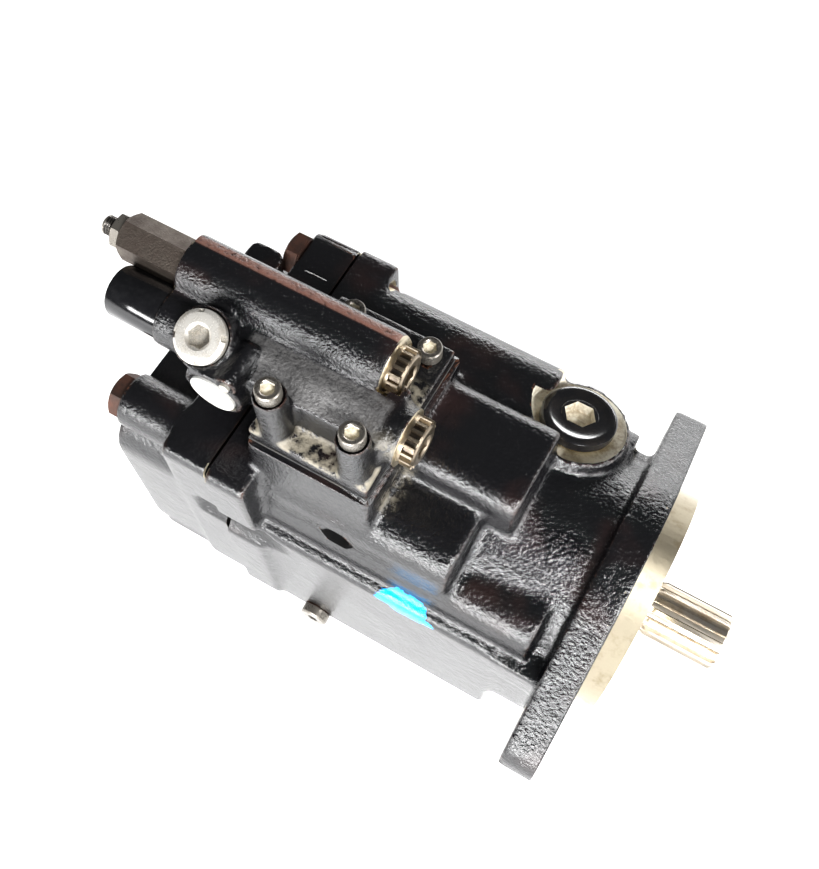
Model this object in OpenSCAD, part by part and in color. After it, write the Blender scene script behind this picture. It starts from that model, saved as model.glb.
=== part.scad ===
// Variable-displacement axial piston pump, swashplate type, 45 cm3 class.
// +X runs along the shaft to its free end, +Y along the line of the two flange holes, +Z up.
// The origin is the centre of the mounting flange's front face, on the shaft axis.

/* [Mounting flange] */
// Diameter of the locating pilot
pilot_d = 101.6; // [94:0.1:110]
// Height of the pilot in front of the flange face
pilot_h = 9.5; // [6:0.5:12.7]
// Thickness of the flange
flange_t = 15; // [12:0.5:19]
// Distance between the two flange holes
ear_span = 146; // [140:1:176]
// Diameter of the flange holes
ear_hole_d = 14.3; // [11:0.1:17.5]
// Radius of each flange ear's end
ear_r = 17; // [14:0.5:21]

/* [Shaft] */
// Distance from the flange face to the shaft's free end
shaft_out = 46; // [36:1:56]
// Major diameter of the drive spline
spline_d = 25.2; // [20:0.1:28]
// Number of drive spline teeth
spline_teeth = 15; // [11:1:24]
// Depth of the drive spline teeth
spline_depth = 1.5; // [1:0.1:2.2]
// Length of the drive spline
spline_l = 33; // [26:1:40]
// Diameter of the shaft where it passes the swashplate
neck_d = 28; // [23:0.5:29]

/* [Rotating group] */
// Diameter of a piston
piston_d = 17; // [14:0.1:18]
// Radius of the circle the pistons lie on
pitch_r = 34; // [32:0.5:36]
// Length of a piston, from its ball centre to its inner end
piston_l = 56; // [50:1:58]
// Diameter of a piston's ball
ball_d = 12; // [10:0.1:13]
// Outer diameter of the cylinder block
block_d = 92; // [88:1:96]
// Diameter of a slipper's running face
slipper_d = 21.5; // [18:0.1:22.5]
// Height of a slipper, from its ball centre to its running face
slipper_h = 9; // [8:0.5:11]
// Largest tilt of the swashplate, in degrees
tilt_max = 17.5; // [12:0.5:18]
// Gap between sliding faces of separate moving pieces
gap = 0.3; // [0.2:0.05:0.4]
// Radial clearance of a running fit
fit = 0.05; // [0.02:0.01:0.08]

/* [Housing] */
// Distance from the flange face back to the housing's rear face
housing_l = 165; // [160:1:198]
// Radius of the bore the rotating group turns in
bore_r = 52; // [50:0.5:54]
// Half the housing's width on the side that carries the gauge port
side_near = 60; // [58:1:72]
// Half the housing's width on the other side
side_far = 58; // [57:1:70]
// Depth of the housing below the shaft axis
base_depth = 77; // [74:1:92]
// Height of the housing's top above the shaft axis
top_h = 64; // [60:1:66]
// Height of the control valve's pad above the shaft axis
pad_h = 80; // [78:1:96]

/* [Port plate] */
// Thickness of the port plate
port_l = 54; // [50:1:65]
// Thickness of the seal between the housing and the port plate
seal_t = 0.8; // [0.5:0.1:1.5]
// Thickness of the valve plate
valve_plate_t = 4.5; // [3:0.1:6]
// Diameter of the suction port
suction_d = 32; // [25:0.5:36]
// Diameter of the pressure port
pressure_d = 25; // [20:0.5:27]
// Distance of the suction port from the shaft axis
suction_y = 29; // [28:0.5:32]
// Distance of the pressure port from the shaft axis
pressure_y = 29; // [28:0.5:32]

/* [Swashplate control] */
// Distance of the stroking piston from the shaft axis
stroke_z = 59; // [58:0.5:61]
// Distance of the bias piston from the shaft axis
bias_z = 58; // [58:0.5:61]
// Diameter of the stroking piston
stroke_d = 12; // [10:0.1:13]
// Diameter of the bias piston's stem
bias_d = 11; // [10.6:0.1:12]
// Wire diameter of the bias spring
bias_wire = 2; // [1.5:0.1:2.4]

/* [Control valve] */
// Height of the pressure spool's axis above the valve's foot
spool1_h = 24.7; // [24.2:0.1:30]
// Sideways place of the pressure spool's axis
spool1_y = -2.5; // [-3.5:0.5:0]
// Height of the flow spool's axis above the valve's foot
spool2_h = 15.2; // [14:0.1:16]
// Sideways place of the flow spool's axis
spool2_y = -20.5; // [-22:0.5:-20]
// Diameter of both spools
spool_d = 10; // [8:0.1:10.5]
// Distance across the flats of the pressure adjuster
adjuster_af = 17; // [16:0.5:18]
// Outer diameter of the protective cap
cap_d = 21.4; // [20.8:0.1:22]
// Height of the screw bosses above the valve's foot
boss_h = 33.2; // [28:0.2:36]
// Diameter of the closure disc
disc_d = 19; // [14:0.5:19.5]

/* [Hidden] */
$fn = 96;

// Housing: round corners, side ledge, lip round the joint, thinnest wall
corner_r = 14;
top_r = 6;
ledge_z = 26;
joint_drop = 2;
far_lip = 4;
wall = 2;

// Places along the shaft, from the rear to the front
seam_x = -housing_l;
port_x = seam_x - seal_t;
rear_x = port_x - port_l;
piston_count = 9;
tilt_x = -84;
block_rear = port_x + valve_plate_t + gap;
block_front = tilt_x - 19;
bore_floor = block_rear + 9;
chamber_r = 54;

// Bearings: bore, outside diameter and width of each, and the rollers' tilt
front_bore = 35;
front_od = 72;
front_w = 18.25;
front_x = -8;
rear_bore = 20;
rear_od = 47;
rear_w = 15.25;
roller_tilt = 12;
roller_taper = 2;

// Seal and its retaining ring
seal_od = 47;
seal_w = 7;
seal_x = -4;
journal_d = 30;
ring_t = 1.5;

// Cradle: runners on the swashplate and the shells they turn in
cradle_r = 42;
shell_t = 2.4;
runner_y0 = 37.6;
runner_y1 = 44.5;
runner_z = 20;
shell_x = tilt_x + 37;

// Ball guide and retainer
guide_r = 22;
retainer_t = 3.5;
retainer_r = pitch_r + 11;
slipper_flange = 4;
slipper_neck_d = 15;

// Shaft through the block
block_spline_d = 27;
block_spline_depth = 1.3;
block_spline_teeth = 18;
spline_start = tilt_x - 8;
spring_floor = block_front - 25;

// Swashplate control
tip_r = 6;
arm_y = 12;
arm_t = 14;
arm_gap = 0.4;
guide_front = tilt_x - 26;
guide_od = 18;
guide_sink = 5;
bias_seat = tilt_x - 13;
bias_rod_d = 8;

// Fasteners
bolt_d = 12;
bolt_head_af = 18;
bolt_head_h = 7.5;
bolt_seat_d = 24;
near_inset = 17;
far_inset = 12;
top_drop = 15;
foot_rise = 17;
near_bolts = [[-side_near + near_inset, top_h - top_drop],
              [-side_near + near_inset - 3, -base_depth + foot_rise]];
far_bolts = [[side_far - far_inset + 4, top_h - top_drop + 5],
             [side_far - far_inset - 1, -base_depth + foot_rise]];
bolt_places = concat(near_bolts, far_bolts);
near_seat = rear_x + 5;
suction_pattern = [30.2, 58.7];
pressure_pattern = [26.2, 52.4];
slab_t = 22;
boss_d = 18;
bolt_depth = 25;
screw_d = 6;
near_screws = [[-142, -37.5], [-108, -37.5]];
far_screws = [[-142, 17.5], [-108, 17.5]];
screw_places = concat(near_screws, far_screws);
screw_depth = 12;

// Control valve
pad_x0 = -152;
pad_x1 = -98;
pad_y0 = -46;
pad_y1 = 26;
pad_draft = 10;
shoulder_y = 8 - side_near;
gasket_t = 0.8;
valve_inset = 2;
valve_z = pad_h + gasket_t;
near_top = valve_z + boss_h;
far_top = valve_z + 7.2;
spool1_z = valve_z + spool1_h;
spool2_z = valve_z + spool2_h;
disc_z = valve_z + 14.2;
disc_x = -168;
disc_face = -41;
orifice_at = [-160.5, valve_z + 26];
web_y = -33;
web_top = spool2_z + 8;
tube1_d = 25;
tube2_d = 24;
spool_chamber = -190;
valve_face = -200;
tube1_front = -112;
tube2_front = -96;
chamber_d = 16.1;
spigot_d = 16;
plug_d = 16;
plug_head_d = 20;
spring_bore_d = 12.6;
screw_shank_d = 8;
locknut_af = 13;
sleeve_l = 30;
nut_t = 5;
cap_l = 24;
cap_head_d = 18;

// Case drain ports: a plug on the shoulder and one on the far side
drain_d = 22;
drain_head_d = 32;
drain_head_t = 5;
drain_ring_t = 1.5;
drain_depth = 12;
drain_tilt = 17;
drain_at = [-49, 36.5, 52];
drain2_at = [-105, side_far, -38];
gauge_x = -125;
gauge_z = 13 - base_depth;

// Cylinder along X between two places, centred on y and z
module xcyl(d, x0, x1, y = 0, z = 0) {
    translate([x0, y, z]) rotate([0, 90, 0]) cylinder(d = d, h = x1 - x0);
}

// Cone along X between two places
module xcone(d0, d1, x0, x1, y = 0, z = 0) {
    translate([x0, y, z]) rotate([0, 90, 0]) cylinder(d1 = d0, d2 = d1, h = x1 - x0);
}

// Cylinder along Y between two places, centred on x and z
module ycyl(d, y0, y1, x = 0, z = 0) {
    translate([x, y0, z]) rotate([-90, 0, 0]) cylinder(d = d, h = y1 - y0);
}

// Cylinder along Z between two heights
module zcyl(d, z0, z1, x = 0, y = 0) {
    translate([x, y, z0]) cylinder(d = d, h = z1 - z0);
}

// Hexagonal bar along X, measured across its flats
module xhex(af, x0, x1, y = 0, z = 0, turn = 0) {
    translate([x0, y, z]) rotate([0, 90, 0]) rotate(turn)
        cylinder(d = af / cos(30), h = x1 - x0, $fn = 6);
}

// Box between two corners
module box(x0, x1, y0, y1, z0, z1) {
    translate([x0, y0, z0]) cube([x1 - x0, y1 - y0, z1 - z0]);
}

// Solid of revolution about X from a list of [x, radius] points
module turned(points, y = 0, z = 0) {
    translate([0, y, z]) rotate([0, 90, 0])
        rotate_extrude() polygon([for (p = points) [p[1], p[0]]]);
}

// Extrusion along X of an outline drawn in Y and Z
module along_x(x0, x1) {
    translate([x0, 0, 0]) rotate([90, 0, 90]) linear_extrude(x1 - x0) children();
}

// Rectangle with round corners
module rounded(y0, y1, z0, z1, r) {
    translate([y0 + r, z0]) square([y1 - y0 - 2 * r, z1 - z0]);
    translate([y0, z0 + r]) square([y1 - y0, z1 - z0 - 2 * r]);
    for (y = [y0 + r, y1 - r], z = [z0 + r, z1 - r])
        translate([y, z]) circle(r);
}

// Outline of a straight-sided spline
module spline_outline(d, depth, teeth, grow = 0) {
    root = d / 2 - depth + grow;
    tip = d / 2 + grow;
    half = PI * (d - depth) / teeth / 4 + grow;
    circle(root);
    intersection() {
        circle(tip);
        for (i = [0 : teeth - 1])
            rotate(i * 360 / teeth)
                polygon([[0, -half], [root, -half], [tip + 1, -half * 0.7],
                         [tip + 1, half * 0.7], [root, half], [0, half]]);
    }
}

// Round wire wound along X: one closed tube from first to last turn
module coil(r, wire, x0, x1, turns, y = 0, z = 0, sides = 6, steps = 14) {
    n = floor(turns * steps);
    points = [for (i = [0 : n]) for (k = [0 : sides - 1])
        let (a = 360 * turns * i / n,
             b = 360 * k / sides,
             rad = r + wire / 2 * cos(b),
             along = x0 + wire / 2 + (x1 - x0 - wire) * i / n + wire / 2 * sin(b))
        [along, y + rad * cos(a), z + rad * sin(a)]];
    walls = [for (i = [0 : n - 1]) for (k = [0 : sides - 1])
        let (m = (k + 1) % sides)
        [i * sides + k, (i + 1) * sides + k, (i + 1) * sides + m, i * sides + m]];
    ends = [[for (k = [0 : sides - 1]) k],
            [for (k = [sides - 1 : -1 : 0]) n * sides + k]];
    polyhedron(points, concat(walls, ends));
}

// ---- Housing ----

// Two-ear flange outline: a round centre joined to each ear by tangents
module flange_outline() {
    centre_r = 59;
    reach = ear_span / 2;
    turn = acos((centre_r - ear_r) / reach);
    circle(centre_r);
    for (s = [-1, 1]) {
        translate([s * reach, 0]) circle(ear_r);
        polygon([[0, centre_r * sin(turn)],
                 [s * centre_r * cos(turn), centre_r * sin(turn)],
                 [s * (reach + ear_r * cos(turn)), ear_r * sin(turn)],
                 [s * (reach + ear_r * cos(turn)), -ear_r * sin(turn)],
                 [s * centre_r * cos(turn), -centre_r * sin(turn)],
                 [0, -centre_r * sin(turn)]]);
    }
}

// A stretch of the tilted axis of the shoulder drain port, measured from its spot face
module at_drain() {
    translate(drain_at) rotate([-drain_tilt, 0, 0]) children();
}

// The same for the drain port on the far side
module at_drain2() {
    translate(drain2_at) rotate([-90, 0, 0]) children();
}

// Upright outline with wide rounds at its foot and close ones at its top
module body_outline(y0, y1, z0, z1) {
    rounded(y0, y1, z0, z1, corner_r);
    rounded(y0, y1, 0, z1, top_r);
}

// Outline of the joint between the housing and the port plate
module joint_outline() {
    body_outline(-side_near, side_far + far_lip, -base_depth + joint_drop,
                 top_h - joint_drop);
}

module housing_outside() {
    wall_r = bore_r + wall;
    along_x(seam_x, seam_x + 18)
        body_outline(-side_near - 2, side_far + far_lip, -base_depth, top_h);
    along_x(seam_x, -34) body_outline(-side_near, side_far, -base_depth, ledge_z);
    along_x(-40, -flange_t)
        body_outline(-side_near + 2, side_far - 4, 2 - wall_r, ledge_z - 2);
    along_x(seam_x, -24) rounded(-wall_r, wall_r, -wall_r - 6, wall_r - 10, 12);
    along_x(seam_x, -62) rounded(shoulder_y, side_far - 2, -20, top_h, corner_r);
    along_x(pad_x0, pad_x1)
        polygon([[pad_y0, pad_h], [pad_y1, pad_h], [pad_y1, 0], [pad_y0 - pad_draft, 0]]);
    along_x(seam_x, -50) rounded(-21, 21, 0, stroke_z + 18, 8);
    xcone(2 * (wall_r + 5), 2 * wall_r, -62, -flange_t);
    along_x(-flange_t, 0) flange_outline();
    xcyl(pilot_d, 0, pilot_h);
    at_drain() translate([0, 0, -30]) cylinder(d = 46, h = 30);
}

module cradle_seats() {
    intersection() {
        difference() {
            ycyl(2 * chamber_r + 2, -45.5, 45.5, tilt_x);
            ycyl(2 * (cradle_r + shell_t) + 0.4, -46, 46, tilt_x);
            box(shell_x - 40, shell_x - 0.5, -60, 60, -60, 60);
        }
        union() {
            for (s = [-1, 1])
                translate([-60, s > 0 ? runner_y0 - 0.3 : -45.5, -60])
                    cube([40, 45.5 - runner_y0 + 0.3, 120]);
        }
    }
}

module housing_inside() {
    difference() {
        union() {
            xcyl(2 * bore_r, seam_x - 1, tilt_x);
            intersection() {
                ycyl(2 * chamber_r, -60, 60, tilt_x);
                xcyl(2 * bore_r, tilt_x - 10, tilt_x + chamber_r + 1);
            }
            intersection() {
                ycyl(2 * chamber_r, -46, 46, tilt_x);
                box(tilt_x - 10, tilt_x + chamber_r + 1, -46, 46, -32, 32);
            }
        }
        cradle_seats();
    }
    box(tilt_x - 36, tilt_x + 24, -arm_y - 3, arm_y + 3, 30, stroke_z + 12);
    box(tilt_x - 36, tilt_x + 36, -arm_y - 3, arm_y + 3, -bias_z - 12, -30);
    xcyl(22, seam_x - 1, tilt_x, 0, stroke_z);
    xcyl(23, seam_x - 1, tilt_x, 0, -bias_z);
    xcyl(front_od, tilt_x + chamber_r - 20, front_x);
    xcyl(journal_d + 6, front_x - 1, seal_x + 1);
    xcyl(seal_od, seal_x, pilot_h + 1);
    xcyl(seal_od + 3, seal_x + seal_w + 0.2, seal_x + seal_w + 0.4 + ring_t);
}

module housing() {
    color("#2a2c2e") difference() {
        housing_outside();
        housing_inside();
        for (s = [-1, 1]) xcyl(ear_hole_d, -flange_t - 1, 1, s * ear_span / 2);
        for (p = bolt_places) xcyl(bolt_d + 0.1, seam_x - 1, seam_x + bolt_depth, p[0], p[1]);
        for (p = screw_places) zcyl(screw_d + 0.1, pad_h - screw_depth, pad_h + 1, p[0], p[1]);
        ycyl(12.2, shoulder_y - 15, shoulder_y + 14, -111, pad_h - 36);
        at_drain() translate([0, 0, -drain_depth - 1]) cylinder(d = drain_d + 0.1, h = 40);
        at_drain() translate([0, 0, -30]) cylinder(d = 12, h = 30);
        at_drain() cylinder(d = 42, h = 12);
        at_drain2() translate([0, 0, -drain_depth - 1]) cylinder(d = drain_d + 0.1, h = 20);
        at_drain2() translate([0, 0, -30]) cylinder(d = 12, h = 30);
        ycyl(10.1, -side_near - 1, -side_near + 11, gauge_x, gauge_z);
    }
}

// ---- Port plate ----

module kidney(r, width, half_angle, x0, x1, side) {
    translate([x0, 0, 0]) rotate([0, 90, 0]) rotate([0, 0, 90 * side - half_angle])
        rotate_extrude(angle = 2 * half_angle)
            translate([r - width / 2, 0]) square([width, x1 - x0]);
}

// Four tapped holes of a split-flange port round a port at y
module sae_holes(y, pattern, hole_d, depth) {
    for (a = [-1, 1], b = [-1, 1])
        xcyl(hole_d, rear_x - 1, rear_x + depth, y + a * pattern[0] / 2, b * pattern[1] / 2);
}

module port_plate() {
    core_x = port_x - rear_w;
    slab_x = port_x - slab_t;
    port_floor = port_x - 24;
    kidney_x = port_floor - 4;
    color("#2a2c2e") difference() {
        union() {
            along_x(slab_x, port_x) joint_outline();
            along_x(rear_x, slab_x)
                rounded(-side_near + 2, side_far - 2, -base_depth + 5, top_h - 22, 20);
            for (p = near_bolts) xcyl(bolt_seat_d, near_seat, port_x - 1, p[0], p[1]);
            zcyl(boss_d, 0, top_h - 1, slab_x - 13, suction_y + 7);
        }
        xcyl(rear_od, core_x - 1, port_x + 1);
        xcyl(rear_bore + 10, core_x - 6, port_x);
        kidney(pitch_r, 12, 55, kidney_x, port_x + 1, 1);
        kidney(pitch_r, 10, 55, kidney_x, port_x + 1, -1);
        xcyl(suction_d, rear_x - 1, port_floor, suction_y);
        xcyl(pressure_d, rear_x - 1, port_floor, -pressure_y);
        sae_holes(suction_y, suction_pattern, 10.2, 20);
        sae_holes(-pressure_y, pressure_pattern, 8.5, 18);
        xcyl(guide_od + 0.04, port_x - guide_sink, port_x + 1, 0, stroke_z);
        xcyl(bias_rod_d + 0.04, port_x - guide_sink, port_x + 1, 0, -bias_z);
        for (p = bolt_places) xcyl(bolt_d + 1, rear_x - 1, port_x + 1, p[0], p[1]);
        for (p = near_bolts) xcyl(bolt_seat_d, rear_x - 1, near_seat, p[0], p[1]);
        for (p = far_bolts) xcyl(bolt_seat_d, rear_x - 1, slab_x, p[0], p[1]);
    }
}

module housing_seal() {
    color("#8a8f94") difference() {
        along_x(port_x, seam_x) joint_outline();
        xcyl(2 * bore_r, port_x - 1, seam_x + 1);
        xcyl(22, port_x - 1, seam_x + 1, 0, stroke_z);
        xcyl(23, port_x - 1, seam_x + 1, 0, -bias_z);
        for (p = bolt_places) xcyl(bolt_d + 1, port_x - 1, seam_x + 1, p[0], p[1]);
    }
}

// Hexagon bolt into the housing, its head seated at x
module bolt(x, p) {
    xhex(bolt_head_af, x - bolt_head_h, x, p[0], p[1]);
    xcyl(bolt_d, x - 1, seam_x + bolt_depth - 3, p[0], p[1]);
}

module port_plate_bolts() {
    color("#6b4a35") {
        for (p = near_bolts) bolt(near_seat, p);
        for (p = far_bolts) bolt(port_x - slab_t, p);
    }
}

module valve_plate() {
    color("#b9a36a") difference() {
        xcyl(block_d, port_x, port_x + valve_plate_t);
        xcyl(rear_od + 2, port_x - 1, port_x + valve_plate_t + 1);
        kidney(pitch_r, 10, 55, port_x - 1, port_x + valve_plate_t + 1, 1);
        kidney(pitch_r, 8, 50, port_x - 1, port_x + valve_plate_t + 1, -1);
    }
}

// ---- Bearings, seal ----

// Radius of a raceway cone at x, for rollers whose axes meet the shaft axis at apex
function race_r(x, apex, angle) = abs(apex - x) * tan(angle);

// Place where the roller axes of a bearing meet the shaft axis
function apex_of(mid_x, bore, od, way) =
    mid_x + way * (bore + od) / 4 / tan(roller_tilt);

front_mid = front_x - front_w / 2;
rear_mid = port_x - rear_w / 2;
front_apex = apex_of(front_mid, front_bore, front_od, 1);
rear_apex = apex_of(rear_mid, rear_bore, rear_od, -1);

module bearing_cup(x0, x1, od, apex) {
    out = roller_tilt + roller_taper;
    turned([[x0, od / 2], [x0, race_r(x0, apex, out) + fit],
            [x1, race_r(x1, apex, out) + fit], [x1, od / 2]]);
}

module bearing_cone(x0, x1, bore, apex) {
    in = roller_tilt - roller_taper;
    turned([[x0, bore / 2], [x0, race_r(x0, apex, in) - fit],
            [x1, race_r(x1, apex, in) - fit], [x1, bore / 2]]);
}

module roller_set(mid_x, apex, bore, od, length, count) {
    way = apex > mid_x ? 1 : -1;
    reach = (bore + od) / 4 / sin(roller_tilt);
    near = reach - length / 2;
    for (i = [0 : count - 1])
        rotate([i * 360 / count, 0, 0])
            translate([apex, 0, 0]) rotate([0, -way * 90 + way * roller_tilt, 0])
                translate([0, 0, near])
                    cylinder(r1 = near * tan(roller_taper),
                             r2 = (near + length) * tan(roller_taper), h = length);
    for (s = [near - 0.4, near + length - 0.8]) {
        x = apex - way * s * cos(roller_tilt);
        r = s * sin(roller_tilt);
        turned([[x - 0.6, r - 1], [x - 0.6, r + 1], [x + 0.6, r + 1], [x + 0.6, r - 1]]);
    }
}

module bearing_cups() {
    color("#b8bcc0") {
        bearing_cup(front_x - front_w + 2, front_x, front_od, front_apex);
        bearing_cup(port_x - rear_w, port_x - 2, rear_od, rear_apex);
    }
}

module bearing_cones() {
    color("#b8bcc0") {
        bearing_cone(front_x - front_w, front_x, front_bore, front_apex);
        bearing_cone(port_x - rear_w, port_x, rear_bore, rear_apex);
    }
}

module bearing_rollers() {
    color("#c9ccd0") {
        roller_set(front_mid, front_apex, front_bore, front_od, 12, 16);
        roller_set(rear_mid, rear_apex, rear_bore, rear_od, 9, 14);
    }
}

module shaft_seal() {
    r_in = journal_d / 2 + fit;
    color("#3b2a20") turned([
        [seal_x, seal_od / 2], [seal_x, r_in + 5], [seal_x + 2, r_in + 3], [seal_x + 2.5, r_in],
        [seal_x + 3.5, r_in], [seal_x + 5, r_in + 1.5], [seal_x + seal_w, r_in + 1.5],
        [seal_x + seal_w, seal_od / 2]]);
}

module seal_retaining_ring() {
    x0 = seal_x + seal_w + 0.3;
    color("#7d8288") difference() {
        xcyl(seal_od + 2.6, x0, x0 + ring_t);
        xcyl(seal_od - 5, x0 - 1, x0 + ring_t + 1);
        box(x0 - 1, x0 + ring_t + 1, -4, 4, 15, 30);
    }
}

// ---- Rotating group ----

module drive_shaft() {
    cone_seat = front_x - front_w;
    spline_x = shaft_out - spline_l;
    color("#b9b2a4") {
        along_x(spline_x, shaft_out - 1.5)
            spline_outline(spline_d, spline_depth, spline_teeth);
        turned([[port_x - rear_w - 2, 0], [port_x - rear_w - 2, rear_bore / 2],
                [port_x, rear_bore / 2], [port_x, block_spline_d / 2 - 2],
                [block_rear + 3, block_spline_d / 2 - block_spline_depth],
                [spline_start, block_spline_d / 2 - block_spline_depth],
                [spline_start, neck_d / 2], [cone_seat - 7, neck_d / 2],
                [cone_seat - 6, front_bore / 2 + 3], [cone_seat, front_bore / 2 + 3],
                [cone_seat, front_bore / 2], [front_x, front_bore / 2],
                [front_x, journal_d / 2], [spline_x - 2, journal_d / 2],
                [spline_x, spline_d / 2 - spline_depth],
                [shaft_out - 1.5, spline_d / 2 - spline_depth],
                [shaft_out, spline_d / 2 - spline_depth - 1.5], [shaft_out, 0]]);
        along_x(block_rear + 3, spline_start)
            spline_outline(block_spline_d, block_spline_depth, block_spline_teeth);
    }
}

module cylinder_block() {
    color("#8f9498") difference() {
        xcyl(block_d, block_rear, block_front);
        along_x(block_rear - 1, block_front + 1)
            spline_outline(block_spline_d, block_spline_depth, block_spline_teeth, 0.1);
        xcyl(block_spline_d + 3, block_rear - 1, block_rear + 4);
        xcyl(2 * (pitch_r - piston_d / 2 - 5), spring_floor, block_front + 1);
        for (i = [0 : piston_count - 1])
            rotate([i * 360 / piston_count, 0, 0]) {
                xcyl(piston_d + 2 * fit, bore_floor, block_front + 1, 0, pitch_r);
                xcyl(10, block_rear - 1, bore_floor + 1, 0, pitch_r);
            }
    }
}

module block_spring() {
    color("#5f6468")
        coil(pitch_r - piston_d / 2 - 8, 3, spring_floor, tilt_x - 16, 3.5, 0, 0, 8, 18);
}

module ball_guide() {
    hub = tilt_x - 16;
    face = tilt_x + 6.5;
    color("#9aa0a4") difference() {
        union() {
            intersection() {
                translate([tilt_x, 0, 0]) sphere(guide_r);
                xcyl(60, tilt_x - 12, face);
            }
            xcyl(40, hub, tilt_x - 8);
        }
        along_x(hub - 1, spline_start + 1)
            spline_outline(block_spline_d, block_spline_depth, block_spline_teeth, 0.1);
        xcyl(neck_d + 0.2, spline_start, face + 1);
    }
}

// One piston at rest, on the line at angle a round the shaft
module piston(a) {
    neck = tilt_x - 5;
    front = tilt_x - 10;
    end = tilt_x - piston_l;
    color("#c2c5c8") rotate([-a, 0, 0]) difference() {
        union() {
            translate([tilt_x, 0, pitch_r]) sphere(d = ball_d);
            xcone(piston_d - 2, 7.5, front - 1, neck + 1, 0, pitch_r);
            xcyl(7.5, neck, tilt_x - 2, 0, pitch_r);
            xcyl(piston_d, end, front - 1, 0, pitch_r);
        }
        xcyl(10, end - 1, front - 6, 0, pitch_r);
        xcyl(1.6, end, tilt_x + 10, 0, pitch_r);
    }
}

// One slipper at rest: a running flange and a boss closed round the ball
module slipper(a) {
    face = tilt_x + slipper_h;
    color("#b08d57") rotate([-a, 0, 0]) difference() {
        union() {
            xcyl(slipper_d, face - slipper_flange, face, 0, pitch_r);
            xcyl(slipper_neck_d, tilt_x - 2.5, face - 1, 0, pitch_r);
        }
        translate([tilt_x, 0, pitch_r]) sphere(d = ball_d + 2 * fit);
        xcone(12.6, 10.6, tilt_x - 3, tilt_x - 1.5, 0, pitch_r);
        xcyl(1.6, tilt_x, face + 1, 0, pitch_r);
        xcyl(11, face - 0.8, face + 1, 0, pitch_r);
    }
}

module retainer_plate() {
    front = tilt_x + slipper_h - slipper_flange - gap;
    color("#a5a9ad") difference() {
        xcyl(2 * retainer_r, front - retainer_t, front);
        translate([tilt_x, 0, 0]) sphere(guide_r + gap);
        for (i = [0 : piston_count - 1])
            rotate([i * 360 / piston_count, 0, 0])
                xcyl(slipper_neck_d + 4, front - retainer_t - 1, front + 1, 0, pitch_r);
    }
}

// ---- Swashplate and its control ----

module swashplate() {
    face = tilt_x + slipper_h + gap;
    back = tilt_x + 22;
    pad = tilt_x + tip_r + arm_gap;
    clear_r = sqrt(pow(guide_r + gap, 2) - pow(slipper_h + gap, 2));
    hole_r = clear_r - (slipper_h + gap) * tan(tilt_max);
    color("#9c9a94") difference() {
        union() {
            xcyl(95, face, tilt_x + 16);
            intersection() {
                xcyl(95, face, back);
                box(face, back, -44.5, 44.5, -34, 34);
            }
            for (s = [-1, 1])
                intersection() {
                    ycyl(2 * cradle_r, -runner_y1, runner_y1, tilt_x);
                    translate([face, s > 0 ? runner_y0 : -runner_y1, -runner_z])
                        cube([60, runner_y1 - runner_y0, 2 * runner_z]);
                }
            box(face, tilt_x + arm_t, -arm_y, arm_y, 40, stroke_z + 7);
            box(pad, tilt_x + arm_t, -arm_y, arm_y, stroke_z - 8, stroke_z + 7);
            box(face, tilt_x + arm_t, -arm_y, arm_y, -bias_z - 7, -40);
            box(pad, tilt_x + arm_t, -arm_y, arm_y, -bias_z - 7, -bias_z + 8);
        }
        translate([tilt_x, 0, 0]) rotate([0, 90, 0])
            cylinder(r1 = hole_r, r2 = hole_r + 60 * tan(tilt_max), h = 60);
    }
}

module cradle_bearings() {
    color("#c8b27a") for (s = [-1, 1])
        difference() {
            ycyl(2 * (cradle_r + shell_t), s > 0 ? runner_y0 : -45, s > 0 ? 45 : -runner_y0, tilt_x);
            ycyl(2 * (cradle_r + 0.1), -46, 46, tilt_x);
            box(tilt_x - 60, shell_x, -60, 60, -60, 60);
        }
}

module stroking_guide() {
    color("#a9adb1") difference() {
        xcyl(guide_od, port_x - guide_sink, guide_front, 0, stroke_z);
        xcyl(stroke_d + 2 * fit, port_x - guide_sink - 1, guide_front + 1, 0, stroke_z);
    }
}

module stroking_piston() {
    end = tilt_x - 60;
    color("#c2c5c8") difference() {
        union() {
            translate([tilt_x, 0, stroke_z]) sphere(tip_r);
            xcyl(2 * tip_r, end, tilt_x, 0, stroke_z);
        }
        difference() {
            xcyl(40, end - 1, tilt_x - 7, 0, stroke_z);
            xcyl(stroke_d, end - 2, tilt_x - 6, 0, stroke_z);
        }
        xcyl(6, end - 1, end + 30, 0, stroke_z);
    }
}

module bias_guide_rod() {
    color("#a9adb1")
        xcyl(bias_rod_d, port_x - guide_sink, tilt_x - 26, 0, -bias_z);
}

module bias_piston() {
    end = tilt_x - 58;
    color("#c2c5c8") difference() {
        union() {
            translate([tilt_x, 0, -bias_z]) sphere(tip_r);
            xcyl(bias_d - 1, tilt_x - 6, tilt_x - 2, 0, -bias_z);
            xcyl(bias_d, end, tilt_x - 5, 0, -bias_z);
            xcyl(bias_d + 6.5, bias_seat, bias_seat + 3, 0, -bias_z);
        }
        xcyl(bias_rod_d + 2 * fit, end - 1, tilt_x - 16, 0, -bias_z);
    }
}

module bias_spring() {
    color("#5f6468")
        coil(bias_d / 2 + bias_wire / 2 + 0.6, bias_wire, port_x + 0.1, bias_seat - 0.1, 10, 0, -bias_z);
}

// ---- Control valve ----

// Boss of the pilot port, pointing up and out from the flow spool's bore
module at_pilot() {
    translate([-177, spool2_y, spool2_z]) rotate([28, 0, 0]) children();
}

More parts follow.
